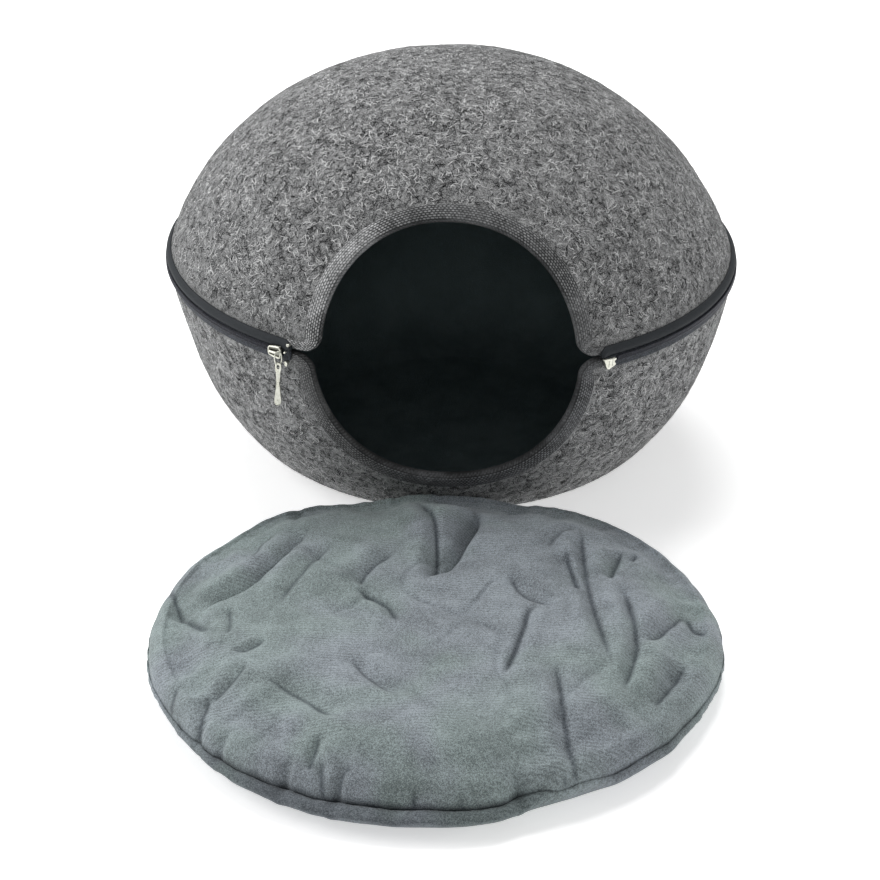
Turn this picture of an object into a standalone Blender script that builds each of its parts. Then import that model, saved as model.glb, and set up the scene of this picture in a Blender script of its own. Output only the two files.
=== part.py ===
"""Felt cat cave: a zip-waisted felt pod with a bound doorway, and its round plush cushion in front.

The pod stands on its flat base with the base's centre at the origin, +Z up and the doorway facing -Y.
An azimuth is an angle round the pod from the doorway towards +X, and a run is a length along the pod's
section from the waist line. All lengths are in metres.
"""
import math

import bmesh
import bpy
import numpy as np
from mathutils import Matrix, Vector

# Cloth and clearances
PIECE_GAP = 0.0003
FELT = 0.003
LINING = 0.0012
TAPE = 0.001

# Pod: radius and rise above the waist, then radius and drop below it, on the felt's outer face
WAIST_HEIGHT = 0.182
WAIST_RADIUS = 0.2484
DOME_SECTION = (
    # radius, rise
    (WAIST_RADIUS, 0.0),
    (0.2320, 0.0397),
    (0.2045, 0.0793),
    (0.1652, 0.1163),
    (0.1156, 0.1456),
    (0.0600, 0.1628),
    (0.0, 0.1676),
)
BOWL_SECTION = (
    # radius, drop
    (WAIST_RADIUS, 0.0),
    (0.2440, 0.0296),
    (0.2262, 0.0937),
    (0.2033, 0.1368),
    (0.1755, 0.1683),
    (0.1440, 0.1810),
    (0.1200, WAIST_HEIGHT),
)
RIDGE_RUN = 0.025
POLE_CAP_RUN = 0.035
LEAN = 0.0012
LEAN_HEIGHT = 0.06
WAIST_TILT = 0.0126

# Doorway: the clear opening inside its binding, seen from the front
DOME_ARCH = {"centre": -0.0025, "half_width": 0.1042, "height": 0.102, "fullness": 2.1}
BOWL_ARCH = {"centre": -0.0052, "half_width": 0.1085, "height": 0.1125, "fullness": 2.2}
BINDING_WIDTH = 0.012
BINDING_WEB = PIECE_GAP + TAPE
CORNER_RADIUS = 0.0135
FELT_EDGE_RUN = 0.003

# Zip: two tapes that meet at the waist, from the doorway's right corner round the back to its left one.
# The closed coil lies just under their meeting
ZIP_START = math.radians(29.4)
ZIP_END = math.radians(360 - 32.4)
UPPER_ZIP_TAPE = 0.0078
LOWER_ZIP_TAPE = 0.0116
FELT_HEM_RUN = 0.0125
COIL_RISE = -0.003
COIL_DEPTH = 0.0018
COIL_HALF_HEIGHT = 0.0027
COIL_START = math.radians(32.1)
COIL_END = math.radians(360 - 33.9)
SLIDER_AZIMUTH = math.radians(-34.5)
PULL_LENGTH = 0.041
METAL_SEAT = 2 * PIECE_GAP + TAPE
BRIDGE_OPENING = 0.0018
BRIDGE_BAR = 0.0009
BRIDGE_HALF_WIDTH = 0.0013
LINK_WIRE = 0.00055
LINK_LENGTH = 0.0120
LINK_SLIDE = 0.0024
PULL_EYE_RADIUS = 0.0014
PULL_EYE_RIM = 0.0012
PULL_THICKNESS = 0.0014
ZIP_BLOCKS = (
    # node, (width, height, thickness), azimuth in degrees, side (+1 dome, -1 bowl), run of its middle
    ("zip_box", (0.0110, 0.0100, 0.0030), 30.4, -1, 0.0055),
    ("zip_clip_top", (0.0030, 0.0024, 0.0014), -32.5, 1, 0.0058),
    ("zip_clip_middle", (0.0020, 0.0016, 0.0012), -32.6, -1, 0.0022),
    ("zip_clip_bottom", (0.0024, 0.0034, 0.0014), -32.6, -1, 0.0098),
)

# Mesh fineness
WAIST_COLUMNS = 36
ARCH_COLUMNS = 15
CORNER_COLUMNS = 3
SHELL_ROWS = 8

# Cushion: its outline is a radius for each direction from its centre, in degrees from +X
CUSHION_CENTRE = (-0.0126, -0.394)
CUSHION_OUTLINE = (
    # direction, radius
    (0, 0.2220),
    (16, 0.2205),
    (30, 0.2210),
    (46, 0.2200),
    (60, 0.2155),
    (74, 0.2050),
    (90, 0.2010),
    (106, 0.2050),
    (120, 0.2165),
    (134, 0.2215),
    (153, 0.2245),
    (174, 0.2235),
    (190, 0.2220),
    (205, 0.2180),
    (224, 0.2195),
    (243, 0.2205),
    (270, 0.2155),
    (281, 0.2170),
    (289, 0.2065),
    (300, 0.2075),
    (316, 0.2145),
    (335, 0.2140),
    (348, 0.2190),
)
CUSHION_SEAM_HEIGHT = 0.019
CUSHION_CROWN = 0.050
CUSHION_RIM_SHAPE = 9.0
CUSHION_FIRM_RISE = 0.03
CUSHION_UNDERSIDE = (
    # inset from the rim, height
    (0.006, 0.0105),
    (0.015, 0.0035),
    (0.027, 0.0),
    (0.110, 0.0),
)
CUSHION_COLUMNS = 64
CUSHION_RINGS = (0.12, 0.24, 0.36, 0.48, 0.59, 0.69, 0.78, 0.86, 0.92, 0.96, 0.985)
CUSHION_SWELLS = (
    # x, y (from the cushion's centre), height, radius
    (0.000, 0.165, 0.0060, 0.045),
    (-0.110, 0.150, 0.0050, 0.045),
    (0.100, 0.130, 0.0030, 0.040),
    (-0.060, -0.010, -0.0040, 0.060),
    (0.050, -0.090, -0.0040, 0.050),
    (-0.140, -0.060, 0.0020, 0.040),
    (-0.020, -0.150, 0.0020, 0.050),
)
CUSHION_FOLDS = (
    # from x, from y, to x, to y (all from the cushion's centre), depth, half width
    (0.027, 0.180, -0.004, 0.050, 0.013, 0.014),
    (-0.100, 0.150, -0.180, 0.026, 0.007, 0.012),
    (0.119, 0.150, 0.132, -0.044, 0.008, 0.010),
    (0.147, 0.057, 0.140, -0.088, 0.006, 0.009),
    (0.198, 0.028, 0.164, -0.022, 0.006, 0.009),
    (0.060, 0.060, 0.052, -0.070, 0.005, 0.009),
    (0.088, -0.052, 0.102, -0.180, 0.005, 0.010),
    (0.190, -0.046, 0.160, -0.108, 0.005, 0.009),
    (-0.080, -0.165, -0.082, -0.215, 0.008, 0.009),
    (0.094, -0.150, 0.092, -0.205, 0.005, 0.008),
    (-0.168, -0.095, -0.174, -0.150, 0.004, 0.009),
    (-0.126, -0.025, -0.156, -0.040, 0.003, 0.010),
)


def ease(share):
    """Smooth step from 0 to 1."""
    share = np.clip(share, 0.0, 1.0)
    return share * share * (3 - 2 * share)


def smooth_curve(knots, end_slope, samples=240):
    """Points along a smooth curve through the knots, which ends along end_slope."""
    knots = np.array(knots)
    chord = np.linalg.norm(np.diff(knots, axis=0), axis=1)
    place = np.concatenate(([0.0], np.cumsum(chord)))
    slope = np.empty_like(knots)
    slope[1:-1] = (knots[2:] - knots[:-2]) / (place[2:] - place[:-2])[:, None]
    slope[0] = 2 * (knots[1] - knots[0]) / chord[0] - slope[1]
    slope[-1] = end_slope
    at = np.linspace(0.0, place[-1], samples)
    span = np.clip(np.searchsorted(place, at, side="right") - 1, 0, len(chord) - 1)
    width = chord[span][:, None]
    t = ((at - place[span]) / chord[span])[:, None]
    return (
        (1 + 2 * t) * (1 - t) ** 2 * knots[span]
        + t * (1 - t) ** 2 * width * slope[span]
        + t * t * (3 - 2 * t) * knots[span + 1]
        + t * t * (t - 1) * width * slope[span + 1]
    )


def settle(points):
    """The pod's own slump: the dome leans left, the bowl right, and the waist drops to the right."""
    points = np.array(points, dtype=float)
    rise = points[..., 2] - WAIST_HEIGHT
    points[..., 2] -= WAIST_TILT * points[..., 0] * (1 - (rise / WAIST_HEIGHT) ** 2)
    points[..., 0] -= LEAN * rise / np.hypot(rise, LEAN_HEIGHT)
    return points


class Half:
    """The dome (side +1) or the bowl (side -1), as a surface with an azimuth and a run."""

    def __init__(self, side, section, arch, tape_run):
        self.side = side
        self.tape_run = tape_run
        curve = smooth_curve(section, (-1.0, 0.0))
        self.radius = curve[:, 0]
        self.reach = curve[:, 1]
        step = np.linalg.norm(np.diff(curve, axis=0), axis=1)
        self.run = np.concatenate(([0.0], np.cumsum(step)))
        along = np.gradient(curve, self.run, axis=0)
        along /= np.linalg.norm(along, axis=1)[:, None]
        self.tilt_out = along[:, 1]
        self.tilt_up = -along[:, 0]
        self.columns = self.edge_columns(arch)
        self.rows = self.grid_rows()

    def point(self, azimuth, run, lift):
        """Places at an azimuth, a run and a lift off the outer face. Lift is level at the waist."""
        radius = np.interp(run, self.run, self.radius)
        reach = np.interp(run, self.run, self.reach)
        share = ease(run / RIDGE_RUN)
        out = 1 - share + share * np.interp(run, self.run, self.tilt_out)
        up = share * np.interp(run, self.run, self.tilt_up)
        size = np.hypot(out, up)
        radius = radius + lift * out / size
        height = WAIST_HEIGHT + self.side * (reach + lift * up / size)
        return settle(np.stack([radius * np.sin(azimuth), -radius * np.cos(azimuth), height], axis=-1))

    def middle(self, lift):
        """The place where the surface meets the pod's axis."""
        return settle([0.0, 0.0, WAIST_HEIGHT + self.side * (self.reach[-1] + lift)])

    def edge_columns(self, arch):
        """The felt's edge, as azimuth and run: round the waist from right to left, then over the arch."""
        half_width = arch["half_width"] + BINDING_WEB
        height = arch["height"] + BINDING_WEB
        power = 2 / arch["fullness"]
        corner = FELT_EDGE_RUN + CORNER_RADIUS
        first = math.asin((corner / height) ** (1 / power))
        turns = np.linspace(first, math.pi - first, ARCH_COLUMNS)[::-1]
        over_x = half_width * np.sign(np.cos(turns)) * np.abs(np.cos(turns)) ** power
        over_rise = height * np.sin(turns) ** power
        bends = np.linspace(0.0, math.pi / 2, CORNER_COLUMNS + 1)[1:]
        bend_x = over_x[-1] + CORNER_RADIUS * (1 - np.cos(bends))
        bend_rise = corner - CORNER_RADIUS * np.sin(bends)
        x = arch["centre"] + np.concatenate([-bend_x[::-1], over_x, bend_x])
        rise = np.concatenate([bend_rise[::-1], over_rise, bend_rise])
        run = np.interp(rise, self.reach, self.run)
        azimuth = 2 * math.pi + np.arcsin(x / np.interp(run, self.run, self.radius))
        waist = np.linspace(ZIP_START, ZIP_END, WAIST_COLUMNS)
        waist_run = np.full(WAIST_COLUMNS, FELT_EDGE_RUN)
        return np.concatenate([waist, azimuth]), np.concatenate([waist_run, run])

    def inland(self, width):
        """Azimuth and run of each edge column moved into the felt by a width."""
        azimuth, run = self.columns
        full_turn = 2 * math.pi
        ahead = np.append(azimuth[1:], azimuth[0] + full_turn)
        behind = np.insert(azimuth[:-1], 0, azimuth[-1] - full_turn)
        radius = np.interp(run, self.run, self.radius)
        across = radius * (ahead - behind)
        along = np.roll(run, -1) - np.roll(run, 1)
        size = np.hypot(across, along)
        return azimuth - width * along / size / radius, run + width * across / size

    def grid_rows(self):
        """Rows of azimuth and run from the felt's edge to the ring round the middle."""
        azimuth, run = self.columns
        hem = np.where(np.arange(len(run)) < WAIST_COLUMNS, FELT_HEM_RUN - FELT_EDGE_RUN, BINDING_WIDTH)
        hem_azimuth, hem_run = self.inland(hem)
        last_run = self.run[-1] - (POLE_CAP_RUN if self.side > 0 else 0.0)
        even = azimuth.mean() + 2 * math.pi * ((np.arange(len(run)) + 0.5) / len(run) - 0.5)
        rows = [(azimuth, run)]
        for share in np.linspace(0.0, 1.0, SHELL_ROWS):
            turned = hem_azimuth + (even - hem_azimuth) * ease(share)
            rows.append((turned, hem_run + (last_run - hem_run) * share))
        return rows

    def ring(self, row, lift):
        azimuth, run = self.rows[row]
        return self.point(azimuth, run, lift)


def mesh_object(name, verts, faces, material):
    """A closed, smooth-shaded mesh object with its faces pointing out."""
    mesh = bpy.data.meshes.new(name)
    mesh.from_pydata([tuple(co) for co in verts], [], faces)
    bm = bmesh.new()
    bm.from_mesh(mesh)
    bmesh.ops.recalc_face_normals(bm, faces=bm.faces)
    bm.to_mesh(mesh)
    bm.free()
    mesh.shade_smooth()
    mesh.set_sharp_from_angle(angle=math.radians(40))
    mesh.materials.append(material)
    obj = bpy.data.objects.new(name, mesh)
    bpy.context.scene.collection.objects.link(obj)
    return obj


def loft(name, rings, material, middles=None, looped=False):
    """A solid through closed rings of points, whose ends are flat, come to middles, or meet in a loop."""
    rings = np.array(rings)
    count = rings.shape[1]
    verts = rings.reshape(-1, 3)
    faces = []
    for here in range(len(rings) if looped else len(rings) - 1):
        there = (here + 1) % len(rings)
        for column in range(count):
            beside = (column + 1) % count
            low, low_next = here * count + column, here * count + beside
            high, high_next = there * count + column, there * count + beside
            if np.linalg.norm(verts[low] - verts[high_next]) <= np.linalg.norm(verts[low_next] - verts[high]):
                faces += [(low, low_next, high_next), (low, high_next, high)]
            else:
                faces += [(low, low_next, high), (low_next, high_next, high)]
    last = (len(rings) - 1) * count
    if middles is not None:
        verts = np.concatenate([verts, middles])
        for column in range(count):
            beside = (column + 1) % count
            faces.append((column, beside, len(verts) - 2))
            faces.append((last + column, last + beside, len(verts) - 1))
    elif not looped:
        faces.append(tuple(range(count)))
        faces.append(tuple(range(last, last + count)))
    return mesh_object(name, verts, faces, material)


def material(name, colour, roughness, metallic=0.0):
    made = bpy.data.materials.new(name)
    made.use_nodes = True
    shader = made.node_tree.nodes["Principled BSDF"]
    shader.inputs["Base Color"].default_value = (*colour, 1.0)
    shader.inputs["Roughness"].default_value = roughness
    shader.inputs["Metallic"].default_value = metallic
    return made


def shell(name, half, lift, thickness, finish):
    """One whole half of the pod in felt or lining, from a lift down through its thickness."""
    rows = range(len(half.rows))
    outer = [half.ring(row, lift) for row in reversed(rows)]
    inner = [half.ring(row, lift - thickness) for row in rows]
    middles = [half.middle(lift), half.middle(lift - thickness)]
    return loft(name, outer + inner, finish, middles=middles)


def binding(name, half, finish):
    """Tape folded over the doorway's edge, on the outside of the felt and the inside of the lining."""
    inside = -(FELT + LINING + 2 * PIECE_GAP)
    section = (
        # inland width, lift
        (BINDING_WIDTH, BINDING_WEB),
        (0.0, BINDING_WEB),
        (-BINDING_WEB, 0.0),
        (-BINDING_WEB, inside),
        (0.0, inside - TAPE),
        (BINDING_WIDTH, inside - TAPE),
        (BINDING_WIDTH, inside),
        (-PIECE_GAP, inside),
        (-PIECE_GAP, PIECE_GAP),
        (BINDING_WIDTH, PIECE_GAP),
    )
    lines = [half.point(*half.inland(width), lift) for width, lift in section]
    by_column = np.stack(lines, axis=1)
    over_door = np.concatenate([by_column[WAIST_COLUMNS - 1:], by_column[:1]])
    for end, next_in in ((0, 1), (-1, -2)):
        inward = over_door[next_in] - over_door[end]
        over_door[end] += PIECE_GAP * inward / np.linalg.norm(inward, axis=1)[:, None]
    return loft(name, over_door, finish)


def zip_tape(name, half, finish):
    """Flat tape sewn outside the felt's waist edge."""
    azimuth = np.linspace(ZIP_START, ZIP_END, WAIST_COLUMNS)
    runs = (PIECE_GAP, FELT_EDGE_RUN, half.tape_run)
    section = [(run, BINDING_WEB) for run in runs] + [(run, PIECE_GAP) for run in reversed(runs)]
    lines = [half.point(azimuth, np.full(WAIST_COLUMNS, run), lift) for run, lift in section]
    return loft(name, np.stack(lines, axis=1), finish)


def zip_coil(finish):
    """Closed coil on the lower tape, just under the meeting of the two tapes."""
    azimuth = np.linspace(ZIP_START, ZIP_END, WAIST_COLUMNS)
    azimuth = np.clip(azimuth, COIL_START, COIL_END)
    azimuth = np.unique(azimuth)
    back = WAIST_RADIUS + METAL_SEAT
    front = back + COIL_DEPTH
    middle = WAIST_HEIGHT + COIL_RISE
    section = (
        # radius, rise
        (back, -COIL_HALF_HEIGHT),
        (front - 0.0006, -COIL_HALF_HEIGHT),
        (front, -COIL_HALF_HEIGHT / 2),
        (front, COIL_HALF_HEIGHT / 2),
        (front - 0.0006, COIL_HALF_HEIGHT),
        (back, COIL_HALF_HEIGHT),
    )
    rings = []
    for turn in azimuth:
        ring = [(r * math.sin(turn), -r * math.cos(turn), middle + rise) for r, rise in section]
        rings.append(settle(ring))
    return loft("zip_coil", rings, finish)


def seat_on_coil(obj, azimuth):
    """Turn a piece modelled facing -Y to an azimuth, and place its origin level with the coil's middle."""
    spot = (WAIST_RADIUS * math.sin(azimuth), -WAIST_RADIUS * math.cos(azimuth), WAIST_HEIGHT + COIL_RISE)
    obj.location = Vector(settle(spot))
    obj.rotation_euler = (0.0, 0.0, azimuth)


def seat_on_tape(obj, half, azimuth, run):
    """Lay a piece modelled facing -Y on the zip tape of a half, tilted as the tape is."""
    near, far = half.point(azimuth, np.array([FELT_EDGE_RUN, half.tape_run]), BINDING_WEB)
    fall = math.hypot(near[0], near[1]) - math.hypot(far[0], far[1])
    tilt = math.atan2(fall, abs(far[2] - near[2]))
    share = (run - FELT_EDGE_RUN) / (half.tape_run - FELT_EDGE_RUN)
    level = Vector((math.sin(azimuth), -math.cos(azimuth), 0.0))
    out = level * math.cos(tilt) + Vector((0.0, 0.0, half.side * math.sin(tilt)))
    obj.location = Vector(near + (far - near) * share) + out * PIECE_GAP
    obj.rotation_euler = (-half.side * tilt, 0.0, azimuth)


def prism(name, outline, near, far, finish):
    """A flat plate: an outline of (x, z) carried from one depth to another in front of the waist."""
    rings = [[(x, -depth, z) for x, z in outline] for depth in (near, far)]
    return loft(name, rings, finish)


def combine(obj, tool, operation):
    """Join a hidden tool to an object, or cut it out."""
    tool.hide_render = True
    tool.display_type = "WIRE"
    change = obj.modifiers.new(operation.lower(), "BOOLEAN")
    change.operation = operation
    change.object = tool
    return obj


def zip_slider(finish):
    """Slider astride the coil, wider at its open end, with a bridge for the link."""
    seat_depth = METAL_SEAT + 0.0004
    channel = COIL_HALF_HEIGHT + 0.0006
    roof = METAL_SEAT + COIL_DEPTH + PIECE_GAP
    face = roof + 0.0014
    rings = []
    for x, half_height in ((-0.0062, 0.0041), (-0.003, 0.0045), (0.003, 0.0052), (0.0062, 0.0056)):
        section = (
            # rise, depth
            (-half_height, seat_depth),
            (-half_height, face - 0.0008),
            (-half_height + 0.0010, face),
            (half_height - 0.0010, face),
            (half_height, face - 0.0008),
            (half_height, seat_depth),
            (channel, seat_depth),
            (channel, roof),
            (-channel, roof),
            (-channel, seat_depth),
        )
        rings.append([(x, -depth, rise) for rise, depth in section])
    body = loft("zip_slider", rings, finish)
    top = face + BRIDGE_OPENING + BRIDGE_BAR
    post = 0.0046
    bridge = (
        # x, depth
        (-post, face - 0.0004),
        (-post, top - 0.0006),
        (-post + 0.0008, top),
        (post - 0.0008, top),
        (post, top - 0.0006),
        (post, face - 0.0004),
        (post - 0.0012, face - 0.0004),
        (post - 0.0012, face + BRIDGE_OPENING),
        (-post + 0.0012, face + BRIDGE_OPENING),
        (-post + 0.0012, face - 0.0004),
    )
    rings = [[(x, -depth, rise) for x, depth in bridge] for rise in (-BRIDGE_HALF_WIDTH, BRIDGE_HALF_WIDTH)]
    arch = loft("zip_slider_bridge", rings, finish)
    arch.parent = body
    combine(body, arch, "UNION")
    return body, face


def zip_link(face, finish):
    """Oblong wire link at the right of the bridge's bar, hanging plumb. Returns its depth and lowest rise too."""
    bend = (BRIDGE_BAR + 2 * PIECE_GAP) / 2 + LINK_WIRE
    depth = face + BRIDGE_OPENING + BRIDGE_BAR / 2
    top = BRIDGE_HALF_WIDTH + PIECE_GAP + LINK_WIRE - bend
    bottom = top + 2 * (bend + LINK_WIRE) - LINK_LENGTH
    rings = []
    sideways = np.array([1.0, 0.0, 0.0])
    for turn in np.arange(16) * math.pi / 8 + math.pi / 16:
        middle = top if turn < math.pi else bottom
        out = np.array([0.0, -math.cos(turn), math.sin(turn)])
        centre = np.array([LINK_SLIDE, -depth, middle]) + bend * out
        ring = []
        for step in range(6):
            angle = step * math.pi / 3
            ring.append(centre + LINK_WIRE * (math.cos(angle) * out + math.sin(angle) * sideways))
        rings.append(ring)
    return loft("zip_link", rings, finish, looped=True), depth, bottom - bend + LINK_WIRE


def zip_pull(depth, link_floor, finish):
    """Drop-shaped pull with an eye round the link's lower bend."""
    eye_top = link_floor + PIECE_GAP + PULL_EYE_RIM
    eye = eye_top - PULL_EYE_RIM - PULL_EYE_RADIUS
    half_widths = (
        # drop below the top, half width
        (0.0, 0.0012),
        (0.0010, 0.0024),
        (0.0032, 0.0029),
        (0.0062, 0.0021),
        (0.0100, 0.0016),
        (0.0220, 0.0019),
        (0.0330, 0.0027),
        (0.0380, 0.0029),
        (0.0400, 0.0022),
        (PULL_LENGTH, 0.0009),
    )
    left = [(LINK_SLIDE - half_width, eye_top - drop) for drop, half_width in half_widths]
    right = [(LINK_SLIDE + half_width, eye_top - drop) for drop, half_width in reversed(half_widths)]
    pull = prism("zip_pull", left + right, depth - PULL_THICKNESS / 2, depth + PULL_THICKNESS / 2, finish)
    turns = np.arange(10) * math.pi / 5
    hole_x = LINK_SLIDE + PULL_EYE_RADIUS * np.cos(turns)
    hole = list(zip(hole_x, eye + PULL_EYE_RADIUS * np.sin(turns)))
    cutter = prism("zip_pull_eye", hole, depth - 0.003, depth + 0.003, finish)
    cutter.parent = pull
    return combine(pull, cutter, "DIFFERENCE")


def zip_block(name, size, finish):
    """A bevelled metal block of a width, height and thickness, with its back at depth 0."""
    width, height, thickness = size
    bm = bmesh.new()
    middle = Matrix.Translation((0.0, -thickness / 2, 0.0))
    scale = Matrix.Diagonal((width, thickness, height, 1.0))
    bmesh.ops.create_cube(bm, size=1.0, matrix=middle @ scale)
    bmesh.ops.bevel(bm, geom=bm.edges[:], offset=thickness * 0.2, segments=1, affect="EDGES")
    verts = [vert.co[:] for vert in bm.verts]
    faces = [[vert.index for vert in face.verts] for face in bm.faces]
    bm.free()
    return mesh_object(name, verts, faces, finish)


def cushion_radius(direction):
    """The cushion's rim radius at a direction in radians, smooth through the outline's table."""
    degrees = np.degrees(direction) % 360
    angles, radii = np.array(CUSHION_OUTLINE).T
    angles = np.concatenate((angles - 360, angles, angles + 360))
    radii = np.tile(radii, 3)
    wide = np.interp(degrees[..., None] + np.linspace(-6, 6, 7), angles, radii)
    return wide.mean(axis=-1)


def cushion_top(x, y, share):
    """Height of the cushion's top panel at a place, where share is 0 at its centre and 1 at its rim."""
    rise = (CUSHION_CROWN - CUSHION_SEAM_HEIGHT) * np.sqrt(1 - share ** CUSHION_RIM_SHAPE)
    firm = np.minimum(1.0, rise / CUSHION_FIRM_RISE)
    for swell_x, swell_y, height, radius in CUSHION_SWELLS:
        rise += firm * height * np.exp(-((x - swell_x) ** 2 + (y - swell_y) ** 2) / radius ** 2)
    dent = np.zeros_like(rise)
    for x0, y0, x1, y1, depth, half_width in CUSHION_FOLDS:
        along = np.array([x1 - x0, y1 - y0])
        place = np.clip(((x - x0) * along[0] + (y - y0) * along[1]) / (along @ along), 0.0, 1.0)
        away = np.hypot(x - x0 - place * along[0], y - y0 - place * along[1])
        dent = np.maximum(dent, depth * np.exp(-((away / half_width) ** 2)))
    return CUSHION_SEAM_HEIGHT + rise - dent * firm


def cushion(finish):
    """Filled cushion: a crowned, folded top panel sewn at its rim to a bottom panel that lies flat."""
    turn = np.arange(CUSHION_COLUMNS) * 2 * math.pi / CUSHION_COLUMNS
    rim = cushion_radius(turn)
    x, y = rim * np.cos(turn), rim * np.sin(turn)
    levels = [(share, cushion_top(x * share, y * share, np.full_like(x, share))) for share in CUSHION_RINGS]
    levels.append((1.0, np.full_like(x, CUSHION_SEAM_HEIGHT)))
    for inset, height in CUSHION_UNDERSIDE:
        levels.append((1 - inset / rim, np.full_like(x, height)))
    centre_x, centre_y = CUSHION_CENTRE
    rings = []
    for share, height in levels:
        rings.append(np.stack([centre_x + x * share, centre_y + y * share, height], axis=1))
    origin = np.zeros(1)
    crown = cushion_top(origin, origin, origin)[0]
    middles = [(centre_x, centre_y, crown), (centre_x, centre_y, 0.0)]
    return loft("cushion", rings, finish, middles=middles)


def main():
    for obj in list(bpy.data.objects):
        bpy.data.objects.remove(obj, do_unlink=True)

    felt = material("grey_felt", (0.115, 0.118, 0.120), 0.95)
    lining = material("black_lining", (0.012, 0.013, 0.014), 0.95)
    tape = material("grey_binding", (0.085, 0.088, 0.092), 0.85)
    zip_cloth = material("zip_tape", (0.022, 0.025, 0.032), 0.75)
    nylon = material("zip_coil", (0.030, 0.032, 0.040), 0.50)
    metal = material("zip_metal", (0.82, 0.82, 0.80), 0.22, metallic=1.0)
    plush = material("blue_grey_plush", (0.235, 0.275, 0.290), 0.90)

    halves = {
        "upper": Half(1, DOME_SECTION, DOME_ARCH, UPPER_ZIP_TAPE),
        "lower": Half(-1, BOWL_SECTION, BOWL_ARCH, LOWER_ZIP_TAPE),
    }
    for place, half in halves.items():
        shell(f"{place}_shell", half, 0.0, FELT, felt)
        shell(f"{place}_lining", half, -(FELT + PIECE_GAP), LINING, lining)
        binding(f"{place}_binding", half, tape)
        zip_tape(f"{place}_zip_tape", half, zip_cloth)
    zip_coil(nylon)

    slider, face = zip_slider(metal)
    link, depth, link_floor = zip_link(face, metal)
    pull = zip_pull(depth, link_floor, metal)
    for piece in (slider, link, pull):
        seat_on_coil(piece, SLIDER_AZIMUTH)
    for name, size, azimuth, side, run in ZIP_BLOCKS:
        half = halves["upper" if side > 0 else "lower"]
        seat_on_tape(zip_block(name, size, metal), half, math.radians(azimuth), run)
    cushion(plush)


main()
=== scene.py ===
from math import asin, atan2, cos, hypot, pi, radians, sin

import bmesh
import bpy
import numpy as np
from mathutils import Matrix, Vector, noise
from mathutils.bvhtree import BVHTree


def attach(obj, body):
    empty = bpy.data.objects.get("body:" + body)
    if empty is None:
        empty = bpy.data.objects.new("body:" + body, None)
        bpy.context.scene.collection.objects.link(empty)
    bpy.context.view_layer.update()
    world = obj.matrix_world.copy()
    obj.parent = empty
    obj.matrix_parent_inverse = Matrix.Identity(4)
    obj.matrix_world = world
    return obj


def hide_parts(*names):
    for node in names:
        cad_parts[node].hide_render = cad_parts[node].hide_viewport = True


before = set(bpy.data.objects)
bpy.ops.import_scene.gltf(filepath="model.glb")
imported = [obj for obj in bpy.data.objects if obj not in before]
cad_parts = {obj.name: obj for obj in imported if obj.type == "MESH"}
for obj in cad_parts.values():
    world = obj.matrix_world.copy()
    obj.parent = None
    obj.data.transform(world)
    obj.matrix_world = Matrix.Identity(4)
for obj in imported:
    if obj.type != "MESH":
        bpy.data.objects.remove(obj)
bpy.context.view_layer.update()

# Sizes that the CAD model shares, in metres
PIECE_GAP = 0.0003
FELT = 0.003
LINING = 0.0012
TAPE = 0.001
WAIST_HEIGHT = 0.182
WAIST_RADIUS = 0.2484
# Sections of the two halves: radius, reach from the waist
DOME_SECTION = (
    (WAIST_RADIUS, 0.0), (0.2320, 0.0397), (0.2045, 0.0793), (0.1652, 0.1163),
    (0.1156, 0.1456), (0.0600, 0.1628), (0.0, 0.1676),
)
BOWL_SECTION = (
    (WAIST_RADIUS, 0.0), (0.2440, 0.0296), (0.2262, 0.0937), (0.2033, 0.1368),
    (0.1755, 0.1683), (0.1440, 0.1810), (0.1200, WAIST_HEIGHT),
)
RIDGE_RUN = 0.025
LEAN = 0.0012
LEAN_HEIGHT = 0.06
WAIST_TILT = 0.0126
DOME_ARCH = {"centre": -0.0025, "half_width": 0.1042, "height": 0.102, "fullness": 2.1}
BOWL_ARCH = {"centre": -0.0052, "half_width": 0.1085, "height": 0.1125, "fullness": 2.2}
BINDING_WIDTH = 0.012
BINDING_WEB = PIECE_GAP + TAPE
CORNER_RADIUS = 0.0135
FELT_EDGE_RUN = 0.003
ZIP_START = radians(29.4)
ZIP_END = radians(360 - 32.4)
UPPER_ZIP_TAPE = 0.0078
LOWER_ZIP_TAPE = 0.0116
FELT_HEM_RUN = 0.0125
TAPE_END = radians(1.2)
# How far a zip tape runs on beyond the right and the left end of the zip, in degrees, by its half's side
TAPE_OVERRUNS = {1: (0.9, 1.3), -1: (0.1, 1.2)}
COIL_RISE = -0.003
COIL_START = radians(32.1)
COIL_END = radians(360 - 33.9)
METAL_SEAT = 2 * PIECE_GAP + TAPE
SLIDER_AZIMUTH = radians(-34.5)
CUSHION_CENTRE = (-0.0126, -0.394)
# The cushion's outline: direction in degrees, radius
CUSHION_OUTLINE = (
    (0, 0.2220), (16, 0.2205), (30, 0.2210), (46, 0.2200), (60, 0.2155), (74, 0.2050),
    (90, 0.2010), (106, 0.2050), (120, 0.2165), (134, 0.2215), (153, 0.2245), (174, 0.2235),
    (190, 0.2220), (205, 0.2180), (224, 0.2195), (243, 0.2205), (270, 0.2155), (281, 0.2170),
    (289, 0.2065), (300, 0.2075), (316, 0.2145), (335, 0.2140), (348, 0.2190),
)
SEAM_HEIGHT = 0.019
CROWN = 0.050
RIM_SHAPE = 9.0
FIRM_RISE = 0.03
# Swells of the cushion: x, y (from its centre), height, radius
SWELLS = (
    (0.000, 0.165, 0.0090, 0.050),
    (-0.110, 0.150, 0.0080, 0.045),
    (0.100, 0.130, 0.0050, 0.040),
    (-0.060, -0.010, -0.0040, 0.060),
    (0.050, -0.090, -0.0040, 0.050),
    (-0.140, -0.060, 0.0020, 0.040),
    (-0.020, -0.150, 0.0020, 0.050),
)

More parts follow.
